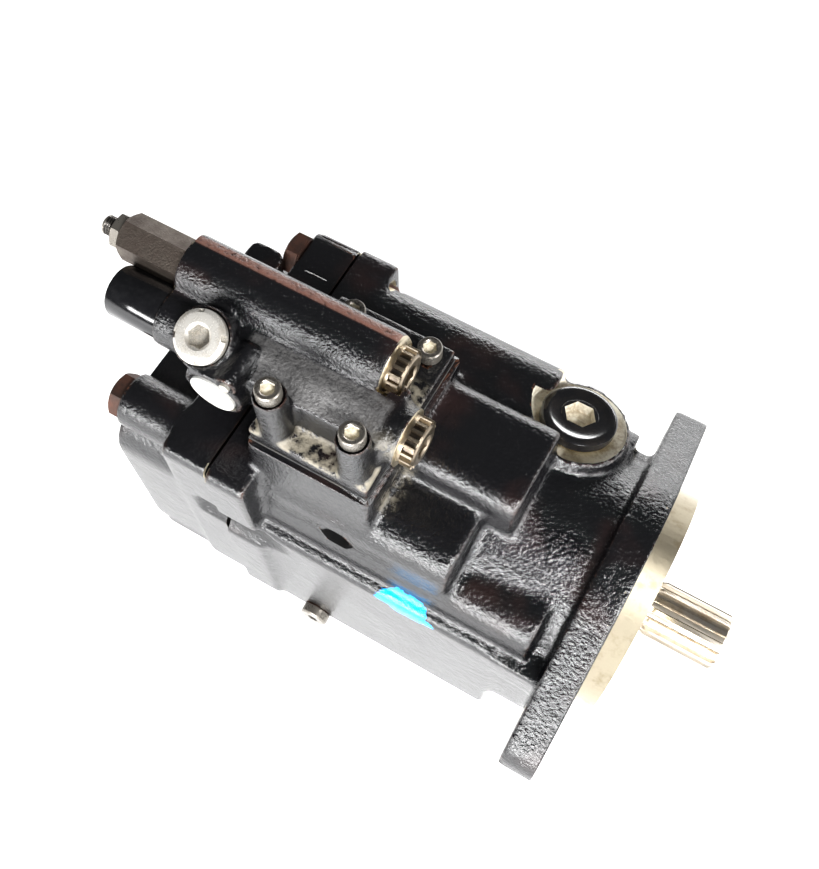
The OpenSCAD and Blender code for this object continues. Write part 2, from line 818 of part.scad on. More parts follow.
module valve_body() {
    color("#232426") difference() {
        union() {
            box(pad_x0, pad_x1 - valve_inset, pad_y0 + valve_inset, pad_y1 - valve_inset,
                valve_z, far_top);
            box(spool_chamber, tube1_front, -32, 8, valve_z + 3, spool1_z - 1.5);
            box(pad_x0 - 12, tube1_front + 10, web_y, spool1_y, far_top - 1, web_top);
            xcyl(tube1_d, valve_face, tube1_front, spool1_y, spool1_z);
            xcyl(tube2_d, valve_face, tube2_front, spool2_y, spool2_z);
            for (p = near_screws) zcyl(13, valve_z, near_top, p[0], p[1]);
            ycyl(disc_d + 6, disc_face + 1.5, spool2_y, disc_x, disc_z);
            ycyl(9, disc_face + 1.5, spool2_y, orifice_at[0], orifice_at[1]);
            at_pilot() cylinder(d = plug_d + 8, h = 17);
        }
        for (p = screw_places) zcyl(screw_d + 0.6, valve_z - 1, near_top + 1, p[0], p[1]);
        for (p = far_screws) zcyl(10.6, far_top, near_top, p[0], p[1]);
        xcyl(spool_d + 2 * fit, valve_face - 1, tube1_front + 1, spool1_y, spool1_z);
        xcyl(spool_d + 2 * fit, valve_face - 1, tube2_front + 1, spool2_y, spool2_z);
        xcyl(chamber_d, valve_face - 1, spool_chamber, spool1_y, spool1_z);
        xcyl(chamber_d, valve_face - 1, spool_chamber, spool2_y, spool2_z);
        xcyl(plug_d + 0.1, tube1_front - 8.6, tube1_front + 1, spool1_y, spool1_z);
        xcyl(plug_head_d + 0.6, tube1_front, tube1_front + 8, spool1_y, spool1_z);
        xcyl(plug_d + 0.1, tube2_front - 8.6, tube2_front + 1, spool2_y, spool2_z);
        ycyl(disc_d + 0.1, disc_face - 1, disc_face + 5.5, disc_x, disc_z);
        ycyl(4.05, disc_face - 1, disc_face + 6, orifice_at[0], orifice_at[1]);
        at_pilot() translate([0, 0, 9]) cylinder(d = plug_d + 0.1, h = 12);
    }
}

module valve_gasket() {
    color("#54585c") difference() {
        box(pad_x0, pad_x1 - valve_inset, pad_y0 + valve_inset, pad_y1 - valve_inset,
            pad_h, valve_z);
        for (p = screw_places) zcyl(screw_d + 0.6, pad_h - 1, valve_z + 1, p[0], p[1]);
    }
}

// Socket head screw down into the pad, its head seated at height z
module cap_screw(z, p) {
    difference() {
        union() {
            zcyl(10, z, z + screw_d, p[0], p[1]);
            zcyl(screw_d, pad_h - screw_depth + 1, z + 1, p[0], p[1]);
        }
        translate([p[0], p[1], z + 3]) cylinder(d = 5 / cos(30), h = 4, $fn = 6);
    }
}

module valve_screws() {
    color("#4a4238") {
        for (p = near_screws) cap_screw(near_top, p);
        for (p = far_screws) cap_screw(far_top, p);
    }
}

module pressure_spring_housing() {
    end = valve_face - sleeve_l;
    color("#8a8577") difference() {
        union() {
            xhex(adjuster_af, end, valve_face, spool1_y, spool1_z, 30);
            xcyl(spigot_d, valve_face - 1, spool_chamber - 0.2, spool1_y, spool1_z);
        }
        xcyl(spring_bore_d, end + 7, spool_chamber, spool1_y, spool1_z);
        xcyl(screw_shank_d + 2 * fit, end - 1, spool_chamber, spool1_y, spool1_z);
    }
}

module flow_spring_housing() {
    end = valve_face - 9;
    color("#8a8577") difference() {
        union() {
            xcyl(cap_head_d, end, valve_face, spool2_y, spool2_z);
            xcyl(spigot_d, valve_face - 1, spool_chamber - 0.2, spool2_y, spool2_z);
        }
        xcyl(spring_bore_d, end + 2.5, spool_chamber, spool2_y, spool2_z);
        xcyl(screw_shank_d + 2 * fit, end - 1, spool_chamber, spool2_y, spool2_z);
    }
}

module flow_cap() {
    color("#111214") difference() {
        xcyl(cap_d, valve_face - cap_l, valve_face, spool2_y, spool2_z);
        xcyl(cap_head_d + 0.4, valve_face - cap_l + 2, valve_face + 1, spool2_y, spool2_z);
    }
}

module lock_nut(front, y, z) {
    difference() {
        xhex(locknut_af, front - nut_t, front, y, z);
        xcyl(screw_shank_d + 2 * fit, front - nut_t - 1, front + 1, y, z);
    }
}

module adjuster_locknuts() {
    color("#3a3630") {
        lock_nut(valve_face - sleeve_l, spool1_y, spool1_z);
        lock_nut(valve_face - 9, spool2_y, spool2_z);
    }
}

// Adjusting screw with the spring seat on its inner end
module adjusting_screw(outer, seat, y, z) {
    difference() {
        union() {
            xcyl(screw_shank_d, outer, seat, y, z);
            xcyl(spring_bore_d - 1, seat - 2, seat, y, z);
        }
        xhex(4, outer - 1, outer + 4, y, z);
    }
}

pressure_seat = valve_face - sleeve_l + 9.5;
flow_seat = valve_face - 4;

module pressure_screw() {
    color("#3a3630")
        adjusting_screw(valve_face - sleeve_l - 11, pressure_seat, spool1_y, spool1_z);
}

module flow_screw() {
    color("#3a3630")
        adjusting_screw(valve_face - 16, flow_seat, spool2_y, spool2_z);
}

// Spool with two lands, a waist and a spring head at its rear end
module spool(front, y, z) {
    land = spool_d / 2;
    waist = land - 1.8;
    head = spool_chamber - 6;
    turned([[head, 0], [head, 5.9], [head + 2.5, 5.9], [head + 3, land], [-176, land],
            [-175, waist], [-158, waist], [-157, land], [-146, land], [-145, waist],
            [-130, waist], [-129, land], [front, land], [front, 0]], y, z);
}

module pressure_spool() { color("#c8cbce") spool(tube1_front - 9.2, spool1_y, spool1_z); }

module flow_spool() { color("#c8cbce") spool(tube2_front - 9.2, spool2_y, spool2_z); }

module pressure_spring() {
    color("#5f6468")
        coil(5.2, 1.4, pressure_seat + 0.1, spool_chamber - 6.1, 6, spool1_y, spool1_z);
}

module flow_spring() {
    color("#5f6468")
        coil(5.2, 1.4, flow_seat + 0.1, spool_chamber - 6.1, 2.5, spool2_y, spool2_z);
}

// Plug that closes a spool's bore, with a ribbed head and a hex socket
module end_plug(face, y, z) {
    difference() {
        union() {
            xcyl(plug_d, face - 8.4, face + 1, y, z);
            xcyl(plug_head_d, face, face + 7, y, z);
        }
        xhex(8, face + 2, face + 8, y, z);
        for (i = [0 : 15])
            translate([0, y, z]) rotate([i * 22.5, 0, 0]) box(face + 2, face + 8, -0.6, 0.6, 9.2, 12);
    }
}

module spool_end_plugs() {
    color("#50483e") {
        end_plug(tube1_front, spool1_y, spool1_z);
        end_plug(tube2_front, spool2_y, spool2_z);
    }
}

module pilot_port_plug() {
    color("#c4c2ba") at_pilot() difference() {
        union() {
            translate([0, 0, 9.5]) cylinder(d = plug_d, h = 8);
            translate([0, 0, 17]) cylinder(d = 21, h = 4);
        }
        translate([0, 0, 14]) cylinder(d = 8 / cos(30), h = 10, $fn = 6);
    }
}

module closure_disc() {
    color("#d0d0cc") ycyl(disc_d, disc_face, disc_face + 5, disc_x, disc_z);
}

module orifice_plug() {
    color("#b9b7b0") ycyl(4, disc_face, disc_face + 5.5, orifice_at[0], orifice_at[1]);
}

// ---- Plugs in the housing ----

module drain_plug() {
    difference() {
        union() {
            translate([0, 0, drain_ring_t]) cylinder(d = drain_head_d, h = drain_head_t);
            translate([0, 0, -drain_depth]) cylinder(d = drain_d, h = drain_depth + drain_ring_t + 1);
        }
        translate([0, 0, -2]) cylinder(d = 12 / cos(30), h = 20, $fn = 6);
    }
}

module drain_ring() {
    difference() {
        cylinder(d = drain_head_d - 2, h = drain_ring_t);
        translate([0, 0, -1]) cylinder(d = drain_d + 0.4, h = drain_ring_t + 2);
    }
}

module case_drain_plugs() {
    color("#1d1e20") {
        at_drain() drain_plug();
        at_drain2() drain_plug();
    }
}

module drain_seal_rings() {
    color("#9b8f7a") {
        at_drain() drain_ring();
        at_drain2() drain_ring();
    }
}

module gauge_port_plug() {
    color("#3c3a36") difference() {
        union() {
            ycyl(10, -side_near, -side_near + 10, gauge_x, gauge_z);
            ycyl(14, -side_near - 5, -side_near, gauge_x, gauge_z);
        }
        translate([gauge_x, -side_near - 2, gauge_z]) rotate([90, 0, 0])
            cylinder(d = 5 / cos(30), h = 5, $fn = 6);
    }
}

// ---- Nodes ----

housing();
port_plate();
housing_seal();
port_plate_bolts();
bearing_cups();
shaft_seal();
seal_retaining_ring();
cradle_bearings();
valve_plate();
stroking_guide();
bias_guide_rod();
valve_body();
valve_gasket();
valve_screws();
pressure_spring_housing();
flow_spring_housing();
flow_cap();
adjuster_locknuts();
spool_end_plugs();
pilot_port_plug();
closure_disc();
orifice_plug();
case_drain_plugs();
drain_seal_rings();
gauge_port_plug();
drive_shaft();
bearing_cones();
cylinder_block();
block_spring();
ball_guide();
bearing_rollers();
retainer_plate();
swashplate();
stroking_piston();
bias_piston();
bias_spring();
pressure_spool();
flow_spool();
pressure_spring();
flow_spring();
pressure_screw();
flow_screw();
for (i = [1 : piston_count]) {
    turn = (i - 1) * 360 / piston_count;
    piston(turn);
    slipper(turn);
}
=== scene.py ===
import math

import bmesh
import bpy
from mathutils import Matrix, Vector


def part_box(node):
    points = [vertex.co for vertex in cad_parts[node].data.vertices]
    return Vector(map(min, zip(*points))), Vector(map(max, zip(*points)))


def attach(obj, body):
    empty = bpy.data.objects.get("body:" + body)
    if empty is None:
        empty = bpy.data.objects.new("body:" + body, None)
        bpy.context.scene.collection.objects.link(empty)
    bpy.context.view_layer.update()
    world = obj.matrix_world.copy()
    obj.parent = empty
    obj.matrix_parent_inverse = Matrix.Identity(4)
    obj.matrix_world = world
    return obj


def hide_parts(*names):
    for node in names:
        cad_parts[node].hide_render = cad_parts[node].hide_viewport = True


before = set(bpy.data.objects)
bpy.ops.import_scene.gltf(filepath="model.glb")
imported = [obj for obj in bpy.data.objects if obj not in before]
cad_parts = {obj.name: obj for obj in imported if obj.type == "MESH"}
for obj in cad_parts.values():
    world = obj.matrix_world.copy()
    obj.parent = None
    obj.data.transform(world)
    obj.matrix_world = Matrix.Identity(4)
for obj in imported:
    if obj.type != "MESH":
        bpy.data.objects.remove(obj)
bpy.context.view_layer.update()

bl_info = {
    "name": "Axial Piston Pump",
    "version": (1, 0, 0),
    "blender": (4, 5, 0),
    "location": "View3D > Sidebar > Pump",
    "description": "Builds the castings, fasteners, plugs and finishes of an axial piston pump",
    "category": "Object",
}

MM = 0.001
CASE = "pump_case"


def turned(degrees, axis):
    """Rotation about a named axis."""
    return Matrix.Rotation(math.radians(degrees), 4, axis)


def spot(x, y, z=0):
    """Placement at a point, in millimetres."""
    return Matrix.Translation((x, y, z))


def top_of(node):
    """Highest corner of a frame node, in millimetres."""
    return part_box(node)[1] / MM


def foot_of(node):
    """Lowest corner of a frame node, in millimetres."""
    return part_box(node)[0] / MM


# ---- Places on the pump, read from the frame or in millimetres ----

SEAM = foot_of("housing").x
PLATE_FRONT = top_of("port_plate").x
PLATE_REAR = foot_of("port_plate").x
BASE = foot_of("housing").z
PAD_TOP = foot_of("valve_gasket").z
VALVE_FOOT = foot_of("valve_body").z
VALVE_REAR = foot_of("valve_body").x
SHAFT_END = top_of("drive_shaft").x
SLEEVE_REAR = foot_of("pressure_spring_housing").x
CAP_REAR = foot_of("flow_cap").x
TUBE_1 = (-2.5, VALVE_FOOT + 24.7)
TUBE_2 = (-20.5, VALVE_FOOT + 15.2)
TUBE_1_FRONT, TUBE_2_FRONT = -112.0, -96.0
SCREWS = ((-142, -37.5, 114), (-108, -37.5, 114), (-142, 17.5, 88), (-108, 17.5, 88))
NEAR_BOLTS = ((-43, 49), (-46, -60))
NEAR_SEAT = PLATE_REAR + 5
FAR_BOLTS = ((50, 54), (45, -60))
SLAB = PLATE_FRONT - 22
DRAIN = spot(-49, 36.5, 52) @ turned(-17, "X")
DRAIN_2 = spot(-105, 58, -38) @ turned(-90, "X")
PILOT = spot(-177, *TUBE_2) @ turned(28, "X")
DISC = spot(-168, -41, VALVE_FOOT + 14.2) @ turned(90, "X")
PIN = spot(-160.5, -41, VALVE_FOOT + 26) @ turned(90, "X")
GAUGE = spot(-125, -60, -64) @ turned(90, "X")
TEST_PORT = spot(-111, -52, 44) @ turned(90, "X")
ALONG_X = turned(90, "Y")

# ---- Sizes that several pieces share, in millimetres ----

FLANGE_CENTRE_R, FLANGE_EAR_R, FLANGE_EAR_Y = 59, 17, 73
FLANGE_STEPS, CORNER_STEPS = 40, 7
FOOT_ROUND, TOP_ROUND = 14, 4
CONE_BACK_R, CONE_FRONT_R, RIM_BOSS_R, DRAIN_BOSS_R, DRAIN_FACE_R = 59, 54, 12, 23, 21.2
BEARING_REACH_R, CONTROL_BORE_R, CONTROL_BORE_Z, DOME_R = 52.8, 13, (59, -58), 9
TURNS = 72
TUBE_1_R, TUBE_2_R = 12.5, 12
SCREW_BOSS_R, SCREW_BOSS_TOP = 6.5, 115
SCREW_ROOMS = ((5.8, SCREWS[:2]), (5.6, SCREWS[2:]))
BOLT_AF, BOLT_HEAD, BOLT_D = 18, 7.5, 12
BOLT_END = SEAM + 22
SCREW_HEAD_D, SCREW_HEAD_H, SCREW_D, SCREW_AF, SCREW_RIBS = 9.8, 6, 6, 5, 30
PLUG_AF, DRAIN_AF, SMALL_AF, ADJUSTER_AF = 8, 12, 5, 4
SLEEVE_AF, NUT_AF, THREAD_PITCH = 17, 13, 1.1
WELD = 1e-4

# ---- Stage values, in metres and watts ----

FLOOR_REACH, FLOOR_DROP = 3000, 0.2
FLOOR_GLOW, WORLD_LIGHT = 0.55, 0.12
LIGHTS = (
    ("key", (-0.25, -1.3, 0.42), (-0.1, 0, 0), (1.3, 0.28), 24),
    ("fore", (0.5, -1.7, 0.5), (0.0, -0.5, 0), (1.2, 0.4), 16),
    ("front", (1.3, -0.1, 0.4), (-0.05, 0, 0), (0.9, 0.3), 12),
    ("over", (0.9, -0.8, 1.3), (-0.1, 0, 0), (0.35, 0.35), 34),
    ("far", (-0.3, 1.4, 0.22), (-0.15, 0, 0.05), (1.4, 0.16), 12))
CAMERA_BACK = Vector((0.20757, -0.36485, 0.90762)).normalized()
CAMERA_TARGET = Vector((-118.13, 19.58, 0)) * MM
CAMERA_DISTANCE, CAMERA_LENS, CAMERA_SENSOR = 0.47857, 42.63, 36


# ---- Sizes and colours a user may change ----

class PumpShape(bpy.types.PropertyGroup):
    """Sizes of the cast surfaces, and counts of teeth and ribs."""
    grain: bpy.props.FloatProperty(
        name="Casting detail", description="Size of the smallest cast detail",
        default=1.5 * MM, min=0.8 * MM, max=4 * MM, unit="LENGTH", precision=4)
    fillet: bpy.props.IntProperty(
        name="Fillet rounds", description="How far cast corners are rounded",
        default=7, min=0, max=40)
    spline_teeth: bpy.props.IntProperty(
        name="Spline teeth", description="Teeth on the shaft's free end",
        default=15, min=9, max=30)
    plug_ribs: bpy.props.IntProperty(
        name="Plug ribs", description="Grip ribs round each spool plug",
        default=18, min=8, max=36)


class PumpPaint(bpy.types.PropertyGroup):
    """Colours of the main finishes."""
    paint: bpy.props.FloatVectorProperty(
        name="Paint", description="Black paint of the castings", subtype="COLOR",
        size=3, default=(0.006, 0.006, 0.007), min=0, max=1)
    worn: bpy.props.FloatVectorProperty(
        name="Worn edge", description="Brown tint where paint is thin on edges",
        subtype="COLOR", size=3, default=(0.11, 0.05, 0.03), min=0, max=1)
    dust: bpy.props.FloatVectorProperty(
        name="Dust", description="Dry dust that lies in the valve's corners",
        subtype="COLOR", size=3, default=(0.24, 0.215, 0.165), min=0, max=1)
    bare_iron: bpy.props.FloatVectorProperty(
        name="Machined iron", description="Oiled bare iron of machined faces",
        subtype="COLOR", size=3, default=(0.56, 0.50, 0.38), min=0, max=1)
    mark: bpy.props.FloatVectorProperty(
        name="Paint mark", description="Blue paint dab on the side",
        subtype="COLOR", size=3, default=(0.0, 0.36, 0.85), min=0, max=1)


# ---- Shader helper ----

class Wire:
    """A shader socket that can be used in Python arithmetic."""

    def __init__(self, coat, socket):
        self.coat = coat
        self.socket = socket

    def _maths(self, operation, first, second):
        node = self.coat.node("ShaderNodeMath", {"operation": operation}, {0: first, 1: second})
        return Wire(self.coat, node.outputs[0])

    def __add__(self, other):
        return self._maths("ADD", self, other)

    __radd__ = __add__

    def __sub__(self, other):
        return self._maths("SUBTRACT", self, other)

    def __rsub__(self, other):
        return self._maths("SUBTRACT", other, self)

    def __mul__(self, other):
        return self._maths("MULTIPLY", self, other)

    __rmul__ = __mul__

    def __pow__(self, other):
        return self._maths("POWER", self, other)

    def least(self, other):
        return self._maths("MINIMUM", self, other)

    def most(self, other):
        return self._maths("MAXIMUM", self, other)

    def ramp(self, low, high):
        """0 below low, 1 above high, smooth between them."""
        node = self.coat.node(
            "ShaderNodeMapRange", {"interpolation_type": "SMOOTHSTEP"},
            {"Value": self, "From Min": low, "From Max": high})
        return Wire(self.coat, node.outputs["Result"])


class Coat:
    """One procedural finish, built node by node."""

    def __init__(self, name):
        self.material = bpy.data.materials.new(name)
        self.material.use_nodes = True
        self.tree = self.material.node_tree
        self.tree.nodes.clear()
        self.out = self.node("ShaderNodeOutputMaterial")
        self.where = Wire(self, self.node("ShaderNodeTexCoord").outputs["Object"])

    def node(self, kind, settings=None, inputs=None):
        made = self.tree.nodes.new(kind)
        for key, value in (settings or {}).items():
            setattr(made, key, value)
        for key, value in (inputs or {}).items():
            self.feed(made.inputs[key], value)
        return made

    def feed(self, socket, value):
        if isinstance(value, Wire):
            self.tree.links.new(value.socket, socket)
        elif isinstance(value, bpy.types.NodeSocket):
            self.tree.links.new(value, socket)
        elif socket.type == "RGBA" and isinstance(value, tuple) and len(value) == 3:
            socket.default_value = (*value, 1)
        else:
            socket.default_value = value

    def noise(self, size, detail=3, rough=0.55, stretch=None):
        """Noise with grains of a given size in millimetres, around 0.5."""
        where = self.where
        if stretch:
            where = Wire(self, self.node("ShaderNodeMapping", None, {
                "Vector": where, "Scale": stretch}).outputs[0])
        made = self.node("ShaderNodeTexNoise", None, {
            "Vector": where, "Scale": 1 / (size * MM), "Detail": detail, "Roughness": rough})
        return Wire(self, made.outputs["Fac"])

    def blend(self, factor, first, second):
        """Colour that goes from first to second with factor."""
        made = self.node("ShaderNodeMix", {"data_type": "RGBA"}, {"Factor": factor})
        sockets = [s for s in made.inputs if s.type == "RGBA"]
        self.feed(sockets[0], first)
        self.feed(sockets[1], second)
        return Wire(self, [s for s in made.outputs if s.type == "RGBA"][0])

    def axis(self, name):
        made = self.node("ShaderNodeSeparateXYZ", None, {0: self.where})
        return Wire(self, made.outputs[name])

    def facing(self, name):
        made = self.node("ShaderNodeNewGeometry")
        parts = self.node("ShaderNodeSeparateXYZ", None, {0: made.outputs["Normal"]})
        return Wire(self, parts.outputs[name])

    def edges(self, low, high):
        """1 on worn convex edges."""
        made = self.node("ShaderNodeNewGeometry")
        return Wire(self, made.outputs["Pointiness"]).ramp(low, high)

    def bump(self, height, depth):
        """Normal from a height, with the depth in millimetres."""
        inputs = {"Height": height, "Distance": depth * MM, "Strength": 1.0}
        return Wire(self, self.node("ShaderNodeBump", None, inputs).outputs[0])

    def shine(self, colour, rough, metal=0.0, normal=None, **fixed):
        """Closes the finish with one principled shader."""
        inputs = {"Base Color": colour, "Roughness": rough, "Metallic": metal}
        if normal is not None:
            inputs["Normal"] = normal
        names = {"ior": "IOR", "glow": "Emission Color", "glow_strength": "Emission Strength"}
        inputs.update({names[key]: value for key, value in fixed.items()})
        shader = self.node("ShaderNodeBsdfPrincipled", None, inputs)
        self.tree.links.new(shader.outputs[0], self.out.inputs["Surface"])
        return self.material


VALVE_FOOT_BOX = ((-162, -50, 78), (-94, -5, 90))
TUBE_GAP_BOX = ((-112, -46, 84), (-92, 4, 104))
TUBE_RIDGE_BOX = ((-202, 1.6, 112), (-108, 5.4, 122))
WEB_FLAT_BOX = ((-163, -32, 100), (-104, -16, 109))
PAD_FOOT_BOX = ((-100, -40, 56), (-93, -12, 72))
MARK_AT = (("X", -76, 14), ("Y", -59, 9), ("Z", 24, 8))
# RIDGE_HIGHLIGHT is a painted highlight colour: a brown line along the valve tube's top ridge.
WARM_TINT, RIDGE_HIGHLIGHT, WEB_GREY = (0.032, 0.014, 0.012), (0.20, 0.10, 0.075), (0.13, 0.127, 0.125)
RING_PITCH, FULL_TURN = 0.35, 6.283


def near_box(coat, low, high, soft):
    """1 inside a box given in millimetres, with soft sides."""
    mask = None
    for name, lo, hi in zip("XYZ", low, high):
        place = coat.axis(name)
        for part in (place.ramp((lo - soft) * MM, (lo + soft) * MM),
                     1 - place.ramp((hi - soft) * MM, (hi + soft) * MM)):
            mask = part if mask is None else mask * part
    return mask


def casting_paint(name, grain, depth, dust_and_ridge_highlight):
    """Gloss black paint over rough cast iron, thin and brown on its edges; on the valve, dust in
    its corners, grey on the flat web and a painted brown highlight along the tube's ridge.
    """
    colours = bpy.context.scene.pump_paint
    coat = Coat(name)
    fine = coat.noise(grain, 3, 0.65)
    lumps = coat.noise(grain * 4, 2, 0.5)
    wide = coat.noise(26, 2, 0.5)
    worn = coat.edges(0.525, 0.60) * coat.noise(3.5, 4, 0.7).ramp(0.36, 0.62)
    colour = coat.blend(worn, tuple(colours.paint), tuple(colours.worn))
    tint = wide.ramp(0.52, 0.75) * coat.facing("Z").ramp(0.2, 0.9)
    colour = coat.blend(tint * 0.5, colour, WARM_TINT)
    rough = 0.12 + 0.08 * wide + 0.1 * fine
    if dust_and_ridge_highlight:
        low = near_box(coat, *VALVE_FOOT_BOX, 3)
        gap = near_box(coat, *TUBE_GAP_BOX, 4)
        lie = (low.most(gap) * coat.noise(5, 4, 0.65).ramp(0.38, 0.55)
               * coat.facing("Z").ramp(0.1, 0.6)).least(1.0)
        # Painted highlight: a brown streak along the top ridge of the first valve tube.
        ridge = near_box(coat, *TUBE_RIDGE_BOX, 0.6)
        ridge_highlight = (ridge * coat.noise(2.4, 4, 0.7).ramp(0.25, 0.5)).least(1.0)
        colour = coat.blend(ridge_highlight, colour, RIDGE_HIGHLIGHT)
        flat = near_box(coat, *WEB_FLAT_BOX, 1.5)
        flat = flat * coat.facing("Z").ramp(0.7, 0.9) * coat.noise(1.6, 4, 0.8).ramp(0.15, 0.6)
        colour = coat.blend(flat, colour, WEB_GREY)
        rough = rough + flat * 0.3
        colour = coat.blend(lie, colour, tuple(colours.dust))
        rough = rough + lie * 0.45 + ridge_highlight * 0.2
    else:
        lie = near_box(coat, *PAD_FOOT_BOX, 2.5)
        lie = lie * coat.noise(4, 4, 0.7).ramp(0.4, 0.7) * 0.6
        colour = coat.blend(lie, colour, tuple(colours.dust))
        spread = None
        for name_, middle, reach in MARK_AT:
            part = (coat.axis(name_) - middle * MM) * (1 / (reach * MM))
            part = part * part
            spread = part if spread is None else spread + part
        dab = 1 - (spread + coat.noise(9, 4, 0.65) * 2.4).ramp(1.9, 2.0)
        colour = coat.blend(dab, colour, tuple(colours.mark))
        rough = rough + lie * 0.4
    height = fine * 0.5 + lumps * 0.5
    normal = coat.bump(height, depth)
    return coat.shine(colour, rough.least(0.95), 0.0, normal, ior=1.7)


def metal_finish(name, colour, stain, rough, grain=0.8, depth=0.02, spread=0.4, rings=None,
                 metal=1.0, stretch=None, edge=None):
    """A metal with stains, fine marks and, where it was turned, rings about an axis."""
    coat = Coat(name)
    patches = coat.noise(7, 4, 0.6)
    marks = coat.noise(grain, 3, 0.6, stretch=stretch)
    amount = patches.ramp(0.62 - spread * 0.4, 0.78) * 0.8 + marks * 0.2 * spread
    tone = coat.blend(amount.least(1.0), colour, stain)
    if edge is not None:
        tone = coat.blend(coat.edges(0.51, 0.56) * 0.8, tone, edge)
    height = marks
    if rings:
        reach = None
        for name_ in rings:
            part = coat.axis(name_)
            part = part * part
            reach = part if reach is None else reach + part
        wave = (reach ** 0.5) * (1 / (RING_PITCH * MM))
        made = coat.node("ShaderNodeMath", {"operation": "SINE"}, {0: wave * FULL_TURN})
        height = marks * 0.6 + Wire(coat, made.outputs[0]) * 0.2
    normal = coat.bump(height, depth)
    shine = (rough * 0.7 + marks * (rough * 0.6) + amount * 0.1).least(0.95)
    return coat.shine(tone, shine, metal, normal)


def plain_finish(name, colour, stain, rough, grain=0.5, depth=0.05, **fixed):
    """Rubber, plastic or fibre: a mottled colour with a fine surface."""
    coat = Coat(name)
    spots = coat.noise(grain, 4, 0.65)
    patches = coat.noise(9, 3, 0.5)
    tone = coat.blend((spots * 0.5 + patches * 0.5).ramp(0.4, 0.68), colour, stain)
    return coat.shine(tone, rough * 0.8 + spots * (rough * 0.4), 0.0,
                      coat.bump(spots, depth), **fixed)


FINISHES = {}


def make_finishes():
    """Every finish of the pump, by name."""
    colours = bpy.context.scene.pump_paint
    iron = tuple(colours.bare_iron)
    def add(kind, name, *values, **fixed):
        FINISHES[name] = kind(name, *values, **fixed)

    add(casting_paint, "housing_paint", 1.5, 0.85, False)
    add(casting_paint, "plate_paint", 1.4, 0.7, False)
    add(casting_paint, "valve_paint", 1.2, 0.85, True)
    add(metal_finish, "machined_iron", iron, (0.36, 0.29, 0.19), 0.34, depth=0.02,
        rings=("Y", "Z"))
    add(metal_finish, "shaft_steel", (0.72, 0.66, 0.57), (0.42, 0.34, 0.25), 0.3,
        stretch=(0.08, 1, 1), depth=0.03)
    add(metal_finish, "bearing_steel", (0.68, 0.69, 0.70), (0.5, 0.5, 0.5), 0.18, depth=0.01)
    add(metal_finish, "ground_steel", (0.62, 0.63, 0.64), (0.45, 0.44, 0.42), 0.22,
        stretch=(0.1, 1, 1), depth=0.01)
    add(metal_finish, "hardened_iron", (0.34, 0.33, 0.32), (0.22, 0.2, 0.18), 0.36, depth=0.04)
    add(metal_finish, "rusty_steel", (0.035, 0.026, 0.022), (0.11, 0.05, 0.034), 0.55, grain=0.9,
        depth=0.18, spread=0.9, metal=0.5)
    add(metal_finish, "dark_steel", (0.035, 0.033, 0.031), (0.08, 0.055, 0.04), 0.28, depth=0.05,
        metal=0.7, edge=(0.28, 0.26, 0.23))
    add(metal_finish, "zinc_steel", (0.30, 0.285, 0.24), (0.05, 0.042, 0.036), 0.5, grain=0.8,
        depth=0.16, spread=1.0, edge=(0.10, 0.08, 0.07))
    # dark_hole: a near-black, almost unreflective finish, painted shade for hole and groove
    # interiors.
    add(plain_finish, "dark_hole", (0.003, 0.003, 0.003), (0.006, 0.006, 0.006), 0.9, ior=1.2)
    add(plain_finish, "disc_steel", (0.55, 0.55, 0.53), (0.36, 0.35, 0.32), 0.42, grain=0.9,
        depth=0.02, ior=1.6)
    add(metal_finish, "bright_steel", (0.62, 0.60, 0.56), (0.36, 0.32, 0.26), 0.25, depth=0.05,
        spread=0.5, metal=0.5)
    add(plain_finish, "worn_cream", (0.86, 0.82, 0.70), (0.42, 0.35, 0.25), 0.4, grain=1.6,
        depth=0.03, ior=1.7)
    add(metal_finish, "plug_steel", (0.07, 0.058, 0.05), (0.26, 0.215, 0.16), 0.32, grain=1.2,
        depth=0.08, spread=0.7, edge=(0.4, 0.34, 0.26))
    add(plain_finish, "black_plug", (0.008, 0.008, 0.009), (0.02, 0.017, 0.015), 0.16, grain=0.8,
        depth=0.02, ior=1.7)
    add(plain_finish, "cap_plastic", (0.006, 0.006, 0.007), (0.013, 0.013, 0.014), 0.14, grain=2.0,
        depth=0.015, ior=1.6)
    add(metal_finish, "bronze", (0.62, 0.43, 0.21), (0.42, 0.26, 0.12), 0.3)
    add(metal_finish, "spring_steel", (0.30, 0.30, 0.31), (0.16, 0.15, 0.14), 0.32, depth=0.02)
    add(plain_finish, "seal_rubber", (0.012, 0.012, 0.013), (0.03, 0.028, 0.026), 0.6)
    add(plain_finish, "gasket", (0.05, 0.052, 0.055), (0.12, 0.115, 0.10), 0.75, grain=0.6,
        depth=0.08)
    add(metal_finish, "brass_ring", (0.62, 0.55, 0.40), (0.3, 0.24, 0.16), 0.28)


# ---- Mesh helpers, in millimetres ----

def new_object(name, build):
    """Object from a bmesh filled by build in millimetres, with outward faces."""
    bm = bmesh.new()
    build(bm)
    bmesh.ops.remove_doubles(bm, verts=bm.verts, dist=WELD)
    bmesh.ops.recalc_face_normals(bm, faces=bm.faces)
    mesh = bpy.data.meshes.new(name)
    bm.to_mesh(mesh)
    bm.free()
    mesh.transform(Matrix.Scale(MM, 4))
    made = bpy.data.objects.new(name, mesh)
    bpy.context.scene.collection.objects.link(made)
    return made


def close_rings(bm, first, last):
    """Caps and sides between two rings of corners."""
    bm.faces.new(first)
    bm.faces.new(list(reversed(last)))
    count = len(first)
    for i in range(count):
        j = (i + 1) % count
        bm.faces.new((first[i], last[i], last[j], first[j]))


